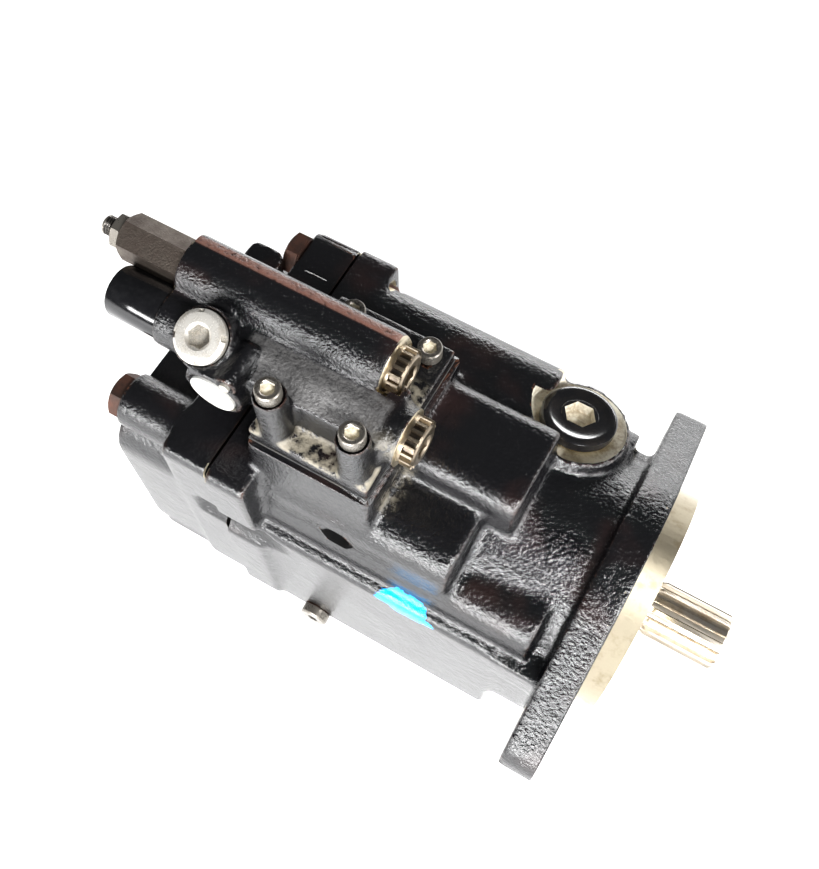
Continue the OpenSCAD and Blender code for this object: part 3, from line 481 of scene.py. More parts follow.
def prism(name, outline, axis, low, high, place=None):
    """Closed prism of an outline; axis names the direction of its length."""
    order = {"x": lambda a, b, c: (c, a, b), "y": lambda a, b, c: (a, c, b),
             "z": lambda a, b, c: (a, b, c)}[axis]

    def build(bm):
        close_rings(bm, *([bm.verts.new(order(a, b, c)) for a, b in outline]
                          for c in (low, high)))
    return moved(new_object(name, build), place)


def block(name, x, y, z, place=None):
    return prism(name, [(x[0], y[0]), (x[1], y[0]), (x[1], y[1]), (x[0], y[1])], "z", *z, place)


def lathe(name, profile, place=None, turns=TURNS):
    """Solid of revolution about Z from (height, radius) points; place puts it on the pump."""
    def build(bm):
        rings = []
        for height, radius in profile:
            if radius < 1e-6:
                rings.append([bm.verts.new((0, 0, height))])
            else:
                rings.append([bm.verts.new((radius * math.cos(2 * math.pi * i / turns),
                                            radius * math.sin(2 * math.pi * i / turns), height))
                              for i in range(turns)])
        pairs = list(zip(rings, rings[1:]))
        if len(rings[0]) > 1 and len(rings[-1]) > 1:
            pairs.append((rings[-1], rings[0]))
        for a, b in pairs:
            for i in range(turns):
                j = (i + 1) % turns
                corners = [a[i % len(a)], a[j % len(a)], b[j % len(b)], b[i % len(b)]]
                unique = list(dict.fromkeys(corners))
                if len(unique) > 2:
                    bm.faces.new(unique)
    return moved(new_object(name, build), place)


def rod(name, radius, low, high, place=None):
    return lathe(name, [(low, 0), (low, radius), (high, radius), (high, 0)], place)


def rod_x(name, radius, low, high, y=0, z=0):
    return rod(name, radius, low, high, spot(0, y, z) @ ALONG_X)


def moved(made, place):
    """Moves a mesh by a placement given in millimetres."""
    if place is not None:
        matrix = place.copy()
        matrix.translation = matrix.translation * MM
        made.data.transform(matrix)
    return made


def hexagon(across):
    reach = across / 2 / math.cos(math.radians(30))
    return [(reach * math.cos(math.radians(60 * i)), reach * math.sin(math.radians(60 * i)))
            for i in range(6)]


def rounded_outline(a0, a1, b0, b1, radius):
    """Rectangle with round corners as a list of points."""
    points = []
    for ca, cb, start in ((a1 - radius, b1 - radius, 0), (a0 + radius, b1 - radius, 90),
                          (a0 + radius, b0 + radius, 180), (a1 - radius, b0 + radius, 270)):
        for i in range(CORNER_STEPS + 1):
            angle = math.radians(start + 90 * i / CORNER_STEPS)
            points.append((ca + radius * math.cos(angle), cb + radius * math.sin(angle)))
    return points


def bar(name, x, y, z, radius):
    """Bar along X with round corners."""
    return prism(name, rounded_outline(*y, *z, radius), "x", *x)


def body_bar(name, x, y, z):
    """Bar with wide rounds at its foot and close ones at its top."""
    return union(bar(name, x, y, z, FOOT_ROUND), bar("top", x, y, (0, z[1]), TOP_ROUND))


def flange_shape():
    """Two-ear flange outline in Y and Z."""
    ear, centre, far = FLANGE_EAR_R, FLANGE_CENTRE_R, FLANGE_EAR_Y
    turn = math.acos((centre - ear) / far)
    points = []
    for middle, radius, start, end in (
            (far, ear, -turn, turn), (0, centre, turn, math.pi - turn),
            (-far, ear, math.pi - turn, math.pi + turn),
            (0, centre, math.pi + turn, 2 * math.pi - turn)):
        for i in range(FLANGE_STEPS + 1):
            angle = start + (end - start) * i / FLANGE_STEPS
            points.append((middle + radius * math.cos(angle), radius * math.sin(angle)))
    return points


def evaluated(made):
    """Replaces an object's mesh by its evaluated one and clears its modifiers."""
    graph = bpy.context.evaluated_depsgraph_get()
    mesh = bpy.data.meshes.new_from_object(made.evaluated_get(graph))
    made.modifiers.clear()
    old = made.data
    made.data = mesh
    bpy.data.meshes.remove(old)
    return made


def combine(made, others, operation):
    """Boolean of an object with others, which are used up."""
    for other in others:
        modifier = made.modifiers.new("cut", "BOOLEAN")
        modifier.object = other
        modifier.operation = operation
        modifier.solver = "MANIFOLD"
        modifier.material_mode = "TRANSFER"
        evaluated(made)
        drop(other)
    if not made.data.polygons:
        raise RuntimeError(f"{made.name}: the boolean left nothing")
    return made


def union(first, *others):
    return combine(first, others, "UNION")


def minus(first, *others):
    return combine(first, others, "DIFFERENCE")


def drop(made):
    mesh = made.data
    bpy.data.objects.remove(made)
    bpy.data.meshes.remove(mesh)


def soften(made, voxel, rounds):
    """Turns sharp unions into one cast skin with fillets."""
    remesh = made.modifiers.new("skin", "REMESH")
    remesh.mode = "VOXEL"
    remesh.voxel_size = voxel
    smooth = made.modifiers.new("fillet", "SMOOTH")
    smooth.factor = 0.5
    smooth.iterations = rounds
    return evaluated(made)


def paint(made, finish):
    made.data.materials.clear()
    made.data.materials.append(FINISHES[finish])
    return made


def shade(made, angle=32):
    for face in made.data.polygons:
        face.use_smooth = True
    made.data.set_sharp_from_angle(angle=math.radians(angle))
    return made


def frame_copy(node):
    """Merged copy of a frame node's mesh."""
    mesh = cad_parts[node].data.copy()
    bm = bmesh.new()
    bm.from_mesh(mesh)
    bmesh.ops.remove_doubles(bm, verts=bm.verts, dist=2e-6)
    bm.to_mesh(mesh)
    bm.free()
    mesh.materials.clear()
    made = bpy.data.objects.new(node + "_copy", mesh)
    bpy.context.scene.collection.objects.link(made)
    return made


def keep(piece, body, slot, *nodes, angle=32):
    """Hands a finished piece to the frame."""
    shade(piece, angle)
    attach(piece, body)
    if nodes:
        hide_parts(*nodes)
    return piece


def machine(casting, node, reach, finish="machined_iron"):
    """Cuts a casting's machined faces and bores as the frame node has them."""
    tool = minus(reach, frame_copy(node))
    paint(tool, finish)
    return minus(casting, tool)


# ---- Geometry node trees for what repeats ----

def tree_with(name, sockets):
    tree = bpy.data.node_groups.new(name, "GeometryNodeTree")
    tree.interface.new_socket("Geometry", in_out="INPUT", socket_type="NodeSocketGeometry")
    tree.interface.new_socket("Geometry", in_out="OUTPUT", socket_type="NodeSocketGeometry")
    for label, kind in sockets:
        tree.interface.new_socket(label, in_out="INPUT", socket_type=kind)
    return tree, tree.nodes.new("NodeGroupInput"), tree.nodes.new("NodeGroupOutput")


def add_node(tree, kind, links=None, **settings):
    made = tree.nodes.new(kind)
    for key, value in settings.items():
        setattr(made, key, value)
    for key, value in (links or {}).items():
        if isinstance(value, bpy.types.NodeSocket):
            tree.links.new(value, made.inputs[key])
        else:
            made.inputs[key].default_value = value
    return made


def finish_tree(tree, given, out, copies):
    """Closes a tree: real meshes with one finish."""
    solid = add_node(tree, "GeometryNodeRealizeInstances", {"Geometry": copies.outputs[0]})
    finish = add_node(tree, "GeometryNodeSetMaterial", {
        "Geometry": solid.outputs[0], "Material": given.outputs["Finish"]})
    tree.links.new(finish.outputs[0], out.inputs["Geometry"])
    return tree


def ring_tree():
    """Copies of one part set round the X axis."""
    tree, given, out = tree_with("ring_of_parts", (
        ("Part", "NodeSocketObject"), ("Count", "NodeSocketInt"), ("Turn", "NodeSocketFloat"),
        ("Finish", "NodeSocketMaterial")))
    line = add_node(tree, "GeometryNodeMeshLine", {"Count": given.outputs["Count"]})
    line.inputs["Offset"].default_value = (0, 0, 0)
    index = add_node(tree, "GeometryNodeInputIndex")
    angle = add_node(tree, "ShaderNodeMath", {0: index.outputs[0], 1: given.outputs["Turn"]},
                     operation="MULTIPLY")
    turn = add_node(tree, "ShaderNodeCombineXYZ", {"X": angle.outputs[0]})
    part = add_node(tree, "GeometryNodeObjectInfo", {"Object": given.outputs["Part"]})
    copies = add_node(tree, "GeometryNodeInstanceOnPoints", {
        "Points": line.outputs["Mesh"], "Instance": part.outputs["Geometry"],
        "Rotation": turn.outputs[0]})
    return finish_tree(tree, given, out, copies)


def spread_tree():
    """Copies of one part set on the points that are given."""
    tree, given, out = tree_with("parts_on_points", (
        ("Part", "NodeSocketObject"), ("Scale", "NodeSocketFloat"),
        ("Finish", "NodeSocketMaterial")))
    part = add_node(tree, "GeometryNodeObjectInfo", {"Object": given.outputs["Part"]})
    copies = add_node(tree, "GeometryNodeInstanceOnPoints", {
        "Points": given.outputs["Geometry"], "Instance": part.outputs["Geometry"],
        "Scale": given.outputs["Scale"]})
    return finish_tree(tree, given, out, copies)


TREES = {}


def grow(made, tree_name, values):
    """Runs one of the trees on an object and keeps the plain mesh."""
    if tree_name not in TREES:
        TREES[tree_name] = {"ring": ring_tree, "spread": spread_tree}[tree_name]()
    tree = TREES[tree_name]
    modifier = made.modifiers.new(tree_name, "NODES")
    modifier.node_group = tree
    for item in tree.interface.items_tree:
        if item.item_type == "SOCKET" and item.in_out == "INPUT" and item.name in values:
            modifier[item.identifier] = values[item.name]
    return evaluated(made)


def ring_of(name, part, count, finish, place=None):
    """Count copies of a part about the X axis, then put in place; the part is used up."""
    made = new_object(name, lambda bm: bm.verts.new((0, 0, 0)))
    grow(made, "ring", {"Part": part, "Count": count, "Turn": 2 * math.pi / count,
                        "Finish": FINISHES[finish]})
    drop(part)
    return moved(made, place)


def spread_on(name, part, points, finish):
    """Copies of a part on points in millimetres; the part is used up."""
    made = new_object(name, lambda bm: [bm.verts.new(p) for p in points])
    grow(made, "spread", {"Part": part, "Scale": 1.0, "Finish": FINISHES[finish]})
    drop(part)
    return made


def joined(name, pieces):
    """One object of several meshes with their own finishes."""
    mesh = bpy.data.meshes.new(name)
    bm = bmesh.new()
    finishes = []
    for piece in pieces:
        start = len(bm.faces)
        bm.from_mesh(piece.data)
        bm.faces.ensure_lookup_table()
        own = list(piece.data.materials)
        for face in bm.faces[start:]:
            finish = own[min(face.material_index, len(own) - 1)] if own else None
            if finish not in finishes:
                finishes.append(finish)
            face.material_index = finishes.index(finish)
    bm.to_mesh(mesh)
    bm.free()
    for finish in finishes:
        mesh.materials.append(finish)
    for piece in pieces:
        drop(piece)
    made = bpy.data.objects.new(name, mesh)
    bpy.context.scene.collection.objects.link(made)
    return made


# ---- Stage ----

def soft_light(name, place, aim, size, power):
    light = bpy.data.lights.new(name, "AREA")
    light.energy = power
    light.shape = "RECTANGLE"
    light.size, light.size_y = size
    lamp = bpy.data.objects.new(name, light)
    lamp.location = place
    lamp.rotation_euler = (Vector(aim) - Vector(place)).to_track_quat("-Z", "Y").to_euler()
    bpy.context.scene.collection.objects.link(lamp)


class PUMP_OT_stage(bpy.types.Operator):
    """Pale floor, soft lights and the camera"""
    bl_idname = "pump.stage"
    bl_label = "Stage"

    def execute(self, context):
        def build(bm):
            for x, y in ((-1, -1), (1, -1), (1, 1), (-1, 1)):
                bm.verts.new((x * FLOOR_REACH, y * FLOOR_REACH, BASE - FLOOR_DROP))
            bm.faces.new(bm.verts)
        floor = new_object("pale_floor", build)
        coat = Coat("pale_floor")
        tone = coat.blend(coat.noise(160, 2).ramp(0.3, 0.7), (0.88, 0.88, 0.88), (0.9, 0.9, 0.9))
        floor.data.materials.append(coat.shine(
            tone, 0.9, 0.0, coat.bump(coat.noise(4), 0.02), glow=tone,
            glow_strength=FLOOR_GLOW))

        world = context.scene.world or bpy.data.worlds.new("studio")
        context.scene.world = world
        world.use_nodes = True
        sky = world.node_tree.nodes["Background"]
        sky.inputs["Color"].default_value = (0.95, 0.97, 1, 1)
        sky.inputs["Strength"].default_value = WORLD_LIGHT
        for light in LIGHTS:
            soft_light(*light)

        data = bpy.data.cameras.new("camera")
        data.sensor_width = CAMERA_SENSOR
        data.lens = CAMERA_LENS
        data.clip_start = 0.01
        camera = bpy.data.objects.new("camera", data)
        camera.location = CAMERA_TARGET + CAMERA_BACK * CAMERA_DISTANCE
        camera.rotation_euler = CAMERA_BACK.to_track_quat("Z", "Y").to_euler()
        context.scene.collection.objects.link(camera)
        context.scene.camera = camera
        view = context.scene.view_settings
        view.view_transform = "Standard"
        view.look = "Medium High Contrast"
        view.exposure = 0.0
        return {"FINISHED"}


# ---- Castings ----

def scoop(start):
    """Long hollow in the near side, deepest at the seam."""
    return lathe("scoop", [(start, 0), (start, 13), (SEAM + 22, 12.4), (SEAM + 34, 9),
                           (SEAM + 42, 0)], spot(0, -69, 14) @ ALONG_X)


def seam_core():
    """What is left inside the groove along the seam."""
    return body_bar("seam_core", (SEAM - 5, SEAM + 5), (-57.6, 59.6), (-72.6, 59.6))


def seam_groove():
    """Groove where the two castings meet, its walls painted near-black as painted shade."""
    around = block("groove", (PLATE_FRONT - 0.5, SEAM + 0.6), (-80, 80), (-90, 80))
    return paint(minus(around, seam_core()), "dark_hole")


class PUMP_OT_housing(bpy.types.Operator):
    """Main casting: flange, cone, barrel, ledges, valve pad and drain boss"""
    bl_idname = "pump.housing"
    bl_label = "Housing"

    def execute(self, context):
        shape = context.scene.pump_shape
        rear = SEAM - 2
        skin = union(
            body_bar("housing_casting", (rear, -34), (-60, 58), (BASE, 26)),
            body_bar("rear_rim", (rear, -147), (-62, 62), (BASE, 64)),
            body_bar("fore_ledge", (-40, -14), (-58, 54), (-52, 24)),
            block("cast_pad", (-37, -15), (-60.5, -50), (4, 25)),
            bar("middle", (rear, -24), (-54, 54), (-60, 44), 12),
            bar("shoulder", (rear, -62), (-52, 56), (-20, 64), 14),
            prism("pad", [(-46, PAD_TOP + 2), (26, PAD_TOP + 2), (26, 0), (-56, 0)], "x",
                  -152, -98),
            bar("ridge", (rear, -50), (-21, 21), (0, 77), 8),
            lathe("cone", [(-62, 0), (-62, CONE_BACK_R), (-14, CONE_FRONT_R), (-14, 0)], ALONG_X),
            prism("flange", flange_shape(), "x", -15, 2),
            rod_x("pilot", 52.5, -1, 11.5),
            rod("drain_boss", DRAIN_BOSS_R, -30, 1.5, DRAIN))
        minus(skin, scoop(SEAM - 8))
        soften(skin, shape.grain, shape.fillet)
        paint(skin, "housing_paint")
        inside = union(
            rod_x("reach", BEARING_REACH_R, SEAM - 4, -34),
            rod_x("fore_reach", 40, -36, -4),
            block("rear_face", (SEAM - 6, SEAM + 1), (-90, 90), (-100, 100)),
            block("slot_top", (-122, -59), (-16, 16), (0, 72)),
            block("slot_foot", (-122, -47), (-16, 16), (-71, 0)),
            *(rod_x("control_bore", CONTROL_BORE_R, SEAM - 4, -84, 0, z) for z in CONTROL_BORE_Z),
            *(rod_x("bolt_reach", 8, SEAM - 4, SEAM + 27, *at) for at in NEAR_BOLTS + FAR_BOLTS),
            block("front_face", (-2, 30), (-110, 110), (-90, 90)),
            *(rod("screw_reach", 4, PAD_TOP - 14, PAD_TOP + 2, spot(x, y)) for x, y, _ in SCREWS),
            *(rod_x("ear_reach", 10, -18, 3, y) for y in (FLANGE_EAR_Y, -FLANGE_EAR_Y)))
        machine(skin, "housing", inside)
        spots = union(
            rod("spot_2", 18, -32, 6, DRAIN_2),
            block("pad_face", (-170, -80), (-58, 40), (PAD_TOP - 0.2, PAD_TOP + 20)),
            rod("gauge_reach", 8, -14, 4, GAUGE))
        machine(skin, "housing", spots, "housing_paint")
        machine(skin, "housing", rod("drain_face", DRAIN_FACE_R, -32, 14, DRAIN), "worn_cream")
        # The test port's bore gets the painted shade finish.
        machine(skin, "housing", rod("test_reach", 7.5, -16, 10, TEST_PORT), "dark_hole")
        minus(skin, seam_groove())
        # The strip of seal inside the groove also gets the painted shade finish.
        seal = combine(frame_copy("housing_seal"), [seam_core()], "INTERSECT")
        keep(paint(seal, "dark_hole"), CASE, "gasket", "housing_seal")
        keep(skin, CASE, "black_casting", "housing")
        return {"FINISHED"}


class PUMP_OT_port_plate(bpy.types.Operator):
    """Rear casting with the two ports and its bolt bosses"""
    bl_idname = "pump.port_plate"
    bl_label = "Port plate"

    def execute(self, context):
        shape = context.scene.pump_shape
        skin = union(
            body_bar("port_plate_casting", (SLAB, PLATE_FRONT + 2), (-60, 62), (-75, 62)),
            bar("block", (PLATE_REAR - 2, SLAB + 1), (-58, 56), (-72, 42), 20),
            rod("dome", DOME_R, 0, 63, spot(SLAB - 13, 36)),
            *(rod_x("boss", RIM_BOSS_R, NEAR_SEAT - 2, PLATE_FRONT - 3, *at) for at in NEAR_BOLTS))
        minus(skin, scoop(SEAM - 14))
        soften(skin, shape.grain, shape.fillet)
        paint(skin, "plate_paint")
        reach = union(
            block("front_cut", (PLATE_FRONT - 1, PLATE_FRONT + 6), (-90, 90), (-90, 90)),
            block("rear_cut", (PLATE_REAR - 6, PLATE_REAR + 1), (-90, 90), (-90, 90)),
            bar("middle_reach", (PLATE_REAR - 2, PLATE_FRONT + 3), (-54, 52), (-66, 38), 16),
            rod_x("top_reach", 14, PLATE_FRONT - 20, PLATE_FRONT + 3, 0, 59))
        machine(skin, "port_plate", reach)
        seats = union(
            *(rod_x("near_reach", 12.4, PLATE_REAR - 2, NEAR_SEAT + 0.4, *at)
              for at in NEAR_BOLTS),
            *(rod_x("near_hole", 8, NEAR_SEAT, PLATE_FRONT + 3, *at) for at in NEAR_BOLTS),
            *(rod_x("far_hole", 12.5, PLATE_REAR - 2, PLATE_FRONT + 3, *at) for at in FAR_BOLTS))
        machine(skin, "port_plate", seats, "plate_paint")
        minus(skin, seam_groove())
        keep(skin, CASE, "black_casting", "port_plate")
        return {"FINISHED"}


class PUMP_OT_valve_body(bpy.types.Operator):
    """Compensator valve casting with its two tubes, web and screw bosses"""
    bl_idname = "pump.valve_body"
    bl_label = "Valve casting"

    def execute(self, context):
        shape = context.scene.pump_shape
        y, z = TUBE_1
        roof = [(y - 12.4, z + 0.5), (y - 10.8, z + 5.8), (y - 4, z + 11.2), (y + 4.5, z + 12.6),
                (y + 8.5, z + 11.6), (y + 11.8, z + 6), (y + 12.3, z - 2), (y + 10, z - 10),
                (y - 11, z - 10)]
        skin = union(
            block("valve_casting", (-152, -100), (-44, 24), (VALVE_FOOT - 1, 88)),
            block("web", (-190, -112), (-32, 8), (VALVE_FOOT + 3, 104)),
            prism("flat_web", [(-8, 108.2), (-22, 107.6), (-32.6, 104), (-33.6, 84), (-8, 84)],
                  "x", -166, -101),
            rod_x("tube_1", TUBE_1_R, VALVE_REAR - 1, TUBE_1_FRONT + 1, *TUBE_1),
            prism("roof", roof, "x", VALVE_REAR - 1, TUBE_1_FRONT - 1),
            rod_x("tube_2", TUBE_2_R, VALVE_REAR - 1, TUBE_2_FRONT + 1, *TUBE_2),
            *(rod("screw_boss", SCREW_BOSS_R, VALVE_FOOT, SCREW_BOSS_TOP, spot(x, y))
              for x, y, _ in SCREWS[:2]),
            rod("disc_boss", 12.5, -20, -1.0, DISC),
            rod("pin_boss", 4.5, -20, -1.0, PIN),
            rod("pilot_boss", 12, 0, 18, PILOT))
        soften(skin, shape.grain * 0.72, shape.fillet)
        paint(skin, "valve_paint")
        reach = union(
            block("foot_cut", (-220, -80), (-60, 60), (VALVE_FOOT - 6, VALVE_FOOT + 0.5)),
            block("rear_cut", (VALVE_REAR - 8, VALVE_REAR + 0.5), (-50, 40), (84, 125)),
            rod_x("bore_1", 10.4, VALVE_REAR - 3, TUBE_1_FRONT + 8, *TUBE_1),
            rod_x("bore_2", 10, VALVE_REAR - 3, TUBE_2_FRONT + 4, *TUBE_2),
            rod_x("end_1", TUBE_1_R, TUBE_1_FRONT - 0.5, TUBE_1_FRONT + 4,
                  TUBE_1[0], TUBE_1[1] + 4),
            rod_x("end_2", 13.5, TUBE_2_FRONT - 0.5, TUBE_2_FRONT + 6, *TUBE_2))
        machine(skin, "valve_body", reach)
        tops = union(
            *(rod("screw_cut", radius, VALVE_FOOT - 3, 120, spot(x, y))
              for radius, row in SCREW_ROOMS for x, y, _ in row),
            rod("disc_cut", 10.5, -12, 3, DISC),
            rod("pin_cut", 3.5, -12, 3, PIN),
            rod("pilot_cut", 11, 6, 22, PILOT))
        machine(skin, "valve_body", tops, "valve_paint")
        keep(skin, CASE, "black_casting", "valve_body")
        return {"FINISHED"}


# ---- Fasteners ----

def hex_bolt(name, across, head, shank, length):
    """Hexagon bolt along Z: its seat at 0, its head below, its shank above."""
    reach = across / 2 / math.cos(math.radians(30))
    head_solid = prism(name, hexagon(across), "z", -head, -0.6)
    flat = across / 2
    dome = lathe("dome", [(-head - 0.1, 0), (-head - 0.1, flat - 1.2), (-head + 0.1, flat - 0.8),
                          (-head + 2.2, reach + 1), (0, reach + 1), (0, 0)])
    combine(head_solid, [dome], "INTERSECT")
    washer = rod("washer", flat - 0.2, -0.9, 0)
    stem = lathe("stem", [(-0.5, 0), (-0.5, shank / 2), (length - 1.2, shank / 2),
                          (length, shank / 2 - 1.2), (length, 0)])
    return union(head_solid, washer, stem)


def socket_screw(name, head_d, head_h, shank, length, across):
    """Socket head screw along Z: its seat at 0, its head above, its shank below."""
    body = lathe(name, [(-length, 0), (-length, shank / 2 - 0.6), (-length + 0.8, shank / 2),
                        (0, shank / 2), (0, head_d / 2 - 0.2), (0.3, head_d / 2),
                        (head_h - 0.7, head_d / 2), (head_h - 0.15, head_d / 2 - 0.4),
                        (head_h, head_d / 2 - 0.9), (head_h, 0)], turns=48)
    lead = lathe("lead", [(head_h - 0.5, 0), (head_h - 0.5, across / 2),
                          (head_h + 0.3, across / 2 + 1.1), (head_h + 0.3, 0)], turns=48)
    return minus(body, lead)


class PUMP_OT_fasteners(bpy.types.Operator):
    """Hexagon bolts of the port plate and socket screws of the valve"""
    bl_idname = "pump.fasteners"
    bl_label = "Fasteners"

    def execute(self, context):
        sets = []
        for places, seat in ((NEAR_BOLTS, NEAR_SEAT), (FAR_BOLTS, SLAB)):
            part = moved(hex_bolt("bolt", BOLT_AF, BOLT_HEAD, BOLT_D, BOLT_END - seat), ALONG_X)
            moved(part, turned(90, "X"))
            sets.append(spread_on("bolts", part, [(seat, y, z) for y, z in places], "rusty_steel"))
        keep(joined("port_plate_hex_bolts", sets), CASE, "rusty_steel", "port_plate_bolts")
        sets = []
        for places in (SCREWS[:2], SCREWS[2:]):
            seat = places[0][2]
            part = socket_screw("screw", SCREW_HEAD_D, SCREW_HEAD_H, SCREW_D,
                                seat - PAD_TOP + 11, SCREW_AF)
            rib = block("rib", (4.5, 4.98), (-0.2, 0.2), (0.6, 4.6))
            ribs = ring_of("ribs", moved(rib, turned(-90, "Y")), SCREW_RIBS, "dark_steel", ALONG_X)
            heads = spread_on("heads", part, places, "dark_steel")
            minus(heads, *(paint(prism("socket", hexagon(SCREW_AF), "z", 3, 7, spot(*at)),
                                 "worn_cream") for at in places))
            sets += [heads, spread_on("head_ribs", ribs, places, "dark_steel")]
        keep(joined("valve_cap_screws", sets), CASE, "dark_steel", "valve_screws")
        return {"FINISHED"}


# ---- Plugs ----

def ribbed_plug(inner, face, place, ribs):
    """Spool plug along X with a ribbed head and a hexagon socket."""
    head = lathe("plug", [(inner, 0), (inner, 7.2), (inner + 0.8, 8), (face, 8), (face, 9.4),
                          (face + 1.6, 9.4), (face + 1.9, 8.6), (face + 5.9, 8.6),
                          (face + 6.8, 7.8), (face + 7, 7.2), (face + 7, 0)], ALONG_X)
    socket = prism("socket", hexagon(PLUG_AF), "x", face + 2, face + 8)
    lead = lathe("lead", [(face + 6.2, 0), (face + 6.2, 4), (face + 7.3, 5.4), (face + 7.3, 0)],
                 ALONG_X)
    head = minus(head, socket, lead)
    paint(head, "plug_steel")
    rib = prism("rib", [(-0.75, 8.2), (0.75, 8.2), (0.5, 9.9), (-0.5, 9.9)], "x",
                face + 1.7, face + 6.2)
    grips = ring_of("grips", rib, ribs, "plug_steel")
    return moved(joined("plug", [head, grips]), spot(0, *place))


class PUMP_OT_plugs(bpy.types.Operator):
    """Spool plugs, pilot plug, face disc, drain plugs with rings and gauge plug"""
    bl_idname = "pump.plugs"
    bl_label = "Plugs"

    def execute(self, context):
        ribs = context.scene.pump_shape.plug_ribs
        plugs = joined("ribbed_spool_plugs", [
            ribbed_plug(face - 8.4, face, tube, ribs)
            for face, tube in ((TUBE_1_FRONT, TUBE_1), (TUBE_2_FRONT, TUBE_2))])
        keep(plugs, CASE, "dark_steel", "spool_end_plugs")

        pilot = lathe("pilot_plug", [(9.5, 0), (9.5, 7.4), (10.1, 8), (17, 8), (17, 9.9),
                                     (17.4, 10.4), (19.6, 10.4), (20.7, 9.2), (21, 8.6), (21, 0)])
        lead = lathe("lead", [(20, 0), (20, 4.1), (21.3, 5.6), (21.3, 0)])
        minus(pilot, prism("hex", hexagon(PLUG_AF), "z", 14, 22), lead)
        for i in range(4):
            cut = block("notch", (8.9, 12), (-1.2, 1.2), (18.4, 22),
                        turned(90 * i + 20, "Z"))
            minus(pilot, cut)
        paint(moved(pilot, PILOT), "bright_steel")
        keep(pilot, CASE, "bright_steel", "pilot_port_plug")

        disc = lathe("face_disc", [(-5, 0), (-5, 9.5), (-0.5, 9.5), (-0.1, 9.2), (0, 8.6),
                                   (-0.35, 5), (-0.5, 0)], DISC)
        paint(disc, "disc_steel")
        keep(disc, CASE, "bright_steel", "closure_disc")
        pin = lathe("bright_pin", [(-5.5, 0), (-5.5, 2), (-0.3, 2), (0, 1.6), (0, 0.9),
                                   (-0.6, 0)], PIN)
        keep(paint(pin, "bright_steel"), CASE, "bright_steel", "orifice_plug")

        sets, rings = [], []
        for place in (DRAIN, DRAIN_2):
            plug = lathe("drain", [(-12, 0), (-12, 10.2), (-11.2, 11), (1.5, 11), (1.5, 15.4),
                                   (1.9, 16), (5.6, 16), (6.2, 15.4), (6.5, 14.7), (6.5, 12.6),
                                   (6.3, 12.2), (6.3, 7.9), (6.5, 7.6), (6.5, 0)])
            paint(plug, "black_plug")
            minus(plug, paint(prism("hex", hexagon(DRAIN_AF), "z", 1.5, 8), "worn_cream"))
            sets.append(moved(plug, place))
            seal = lathe("ring", [(0, 11.2), (0, 14.6), (0.4, 15), (1.1, 15), (1.5, 14.6),
                                  (1.5, 11.2)])
            paint(seal, "brass_ring")
            rings.append(moved(seal, place))
        keep(joined("drain_plug_pair", sets), CASE, "black_plug", "case_drain_plugs")
        keep(joined("drain_ring_pair", rings), CASE, "bronze", "drain_seal_rings")

        gauge = lathe("gauge_plug", [(-10, 0), (-10, 4.4), (-9.4, 5), (0, 5), (0, 6.6), (0.4, 7),
                                     (4.2, 7), (5, 6.2), (5, 0)])
        minus(gauge, prism("hex", hexagon(SMALL_AF), "z", 2, 6))
        paint(moved(gauge, GAUGE), "dark_steel")
        keep(gauge, CASE, "dark_steel", "gauge_port_plug")
        return {"FINISHED"}


# ---- Adjusters ----

def lock_nut(rear, front, place):
    """Hexagon nut round an adjusting screw."""
    nut = prism("nut", hexagon(NUT_AF), "x", rear, front)
    dome = lathe("dome", [(rear, 0), (rear, 5.9), (rear + 1, 8), (front - 1, 8), (front, 5.9),
                          (front, 0)], ALONG_X)
    combine(nut, [dome], "INTERSECT")
    minus(nut, rod_x("hole", 4.05, rear - 1, front + 1))
    return moved(paint(nut, "dark_steel"), spot(0, *place))


def adjuster(outer, seat, place, name):
    """Adjusting screw with a thread, an inner hexagon and its spring seat."""
    profile = [(outer, 0), (outer, 3.1), (outer + 0.8, 4)]
    x = outer + 1.4
    while x < seat - 5:
        profile += [(x, 4), (x + 0.55, 3.55)]
        x += THREAD_PITCH
    profile += [(seat - 4, 4), (seat - 2, 4), (seat - 2, 5.4), (seat - 1.6, 5.8),
                (seat - 0.4, 5.8), (seat, 5.4), (seat, 0)]
    screw = lathe(name, profile, ALONG_X, 36)
    minus(screw, prism("hex", hexagon(ADJUSTER_AF), "x", outer - 1, outer + 4))
    paint(screw, "dark_steel")
    return moved(screw, spot(0, *place))


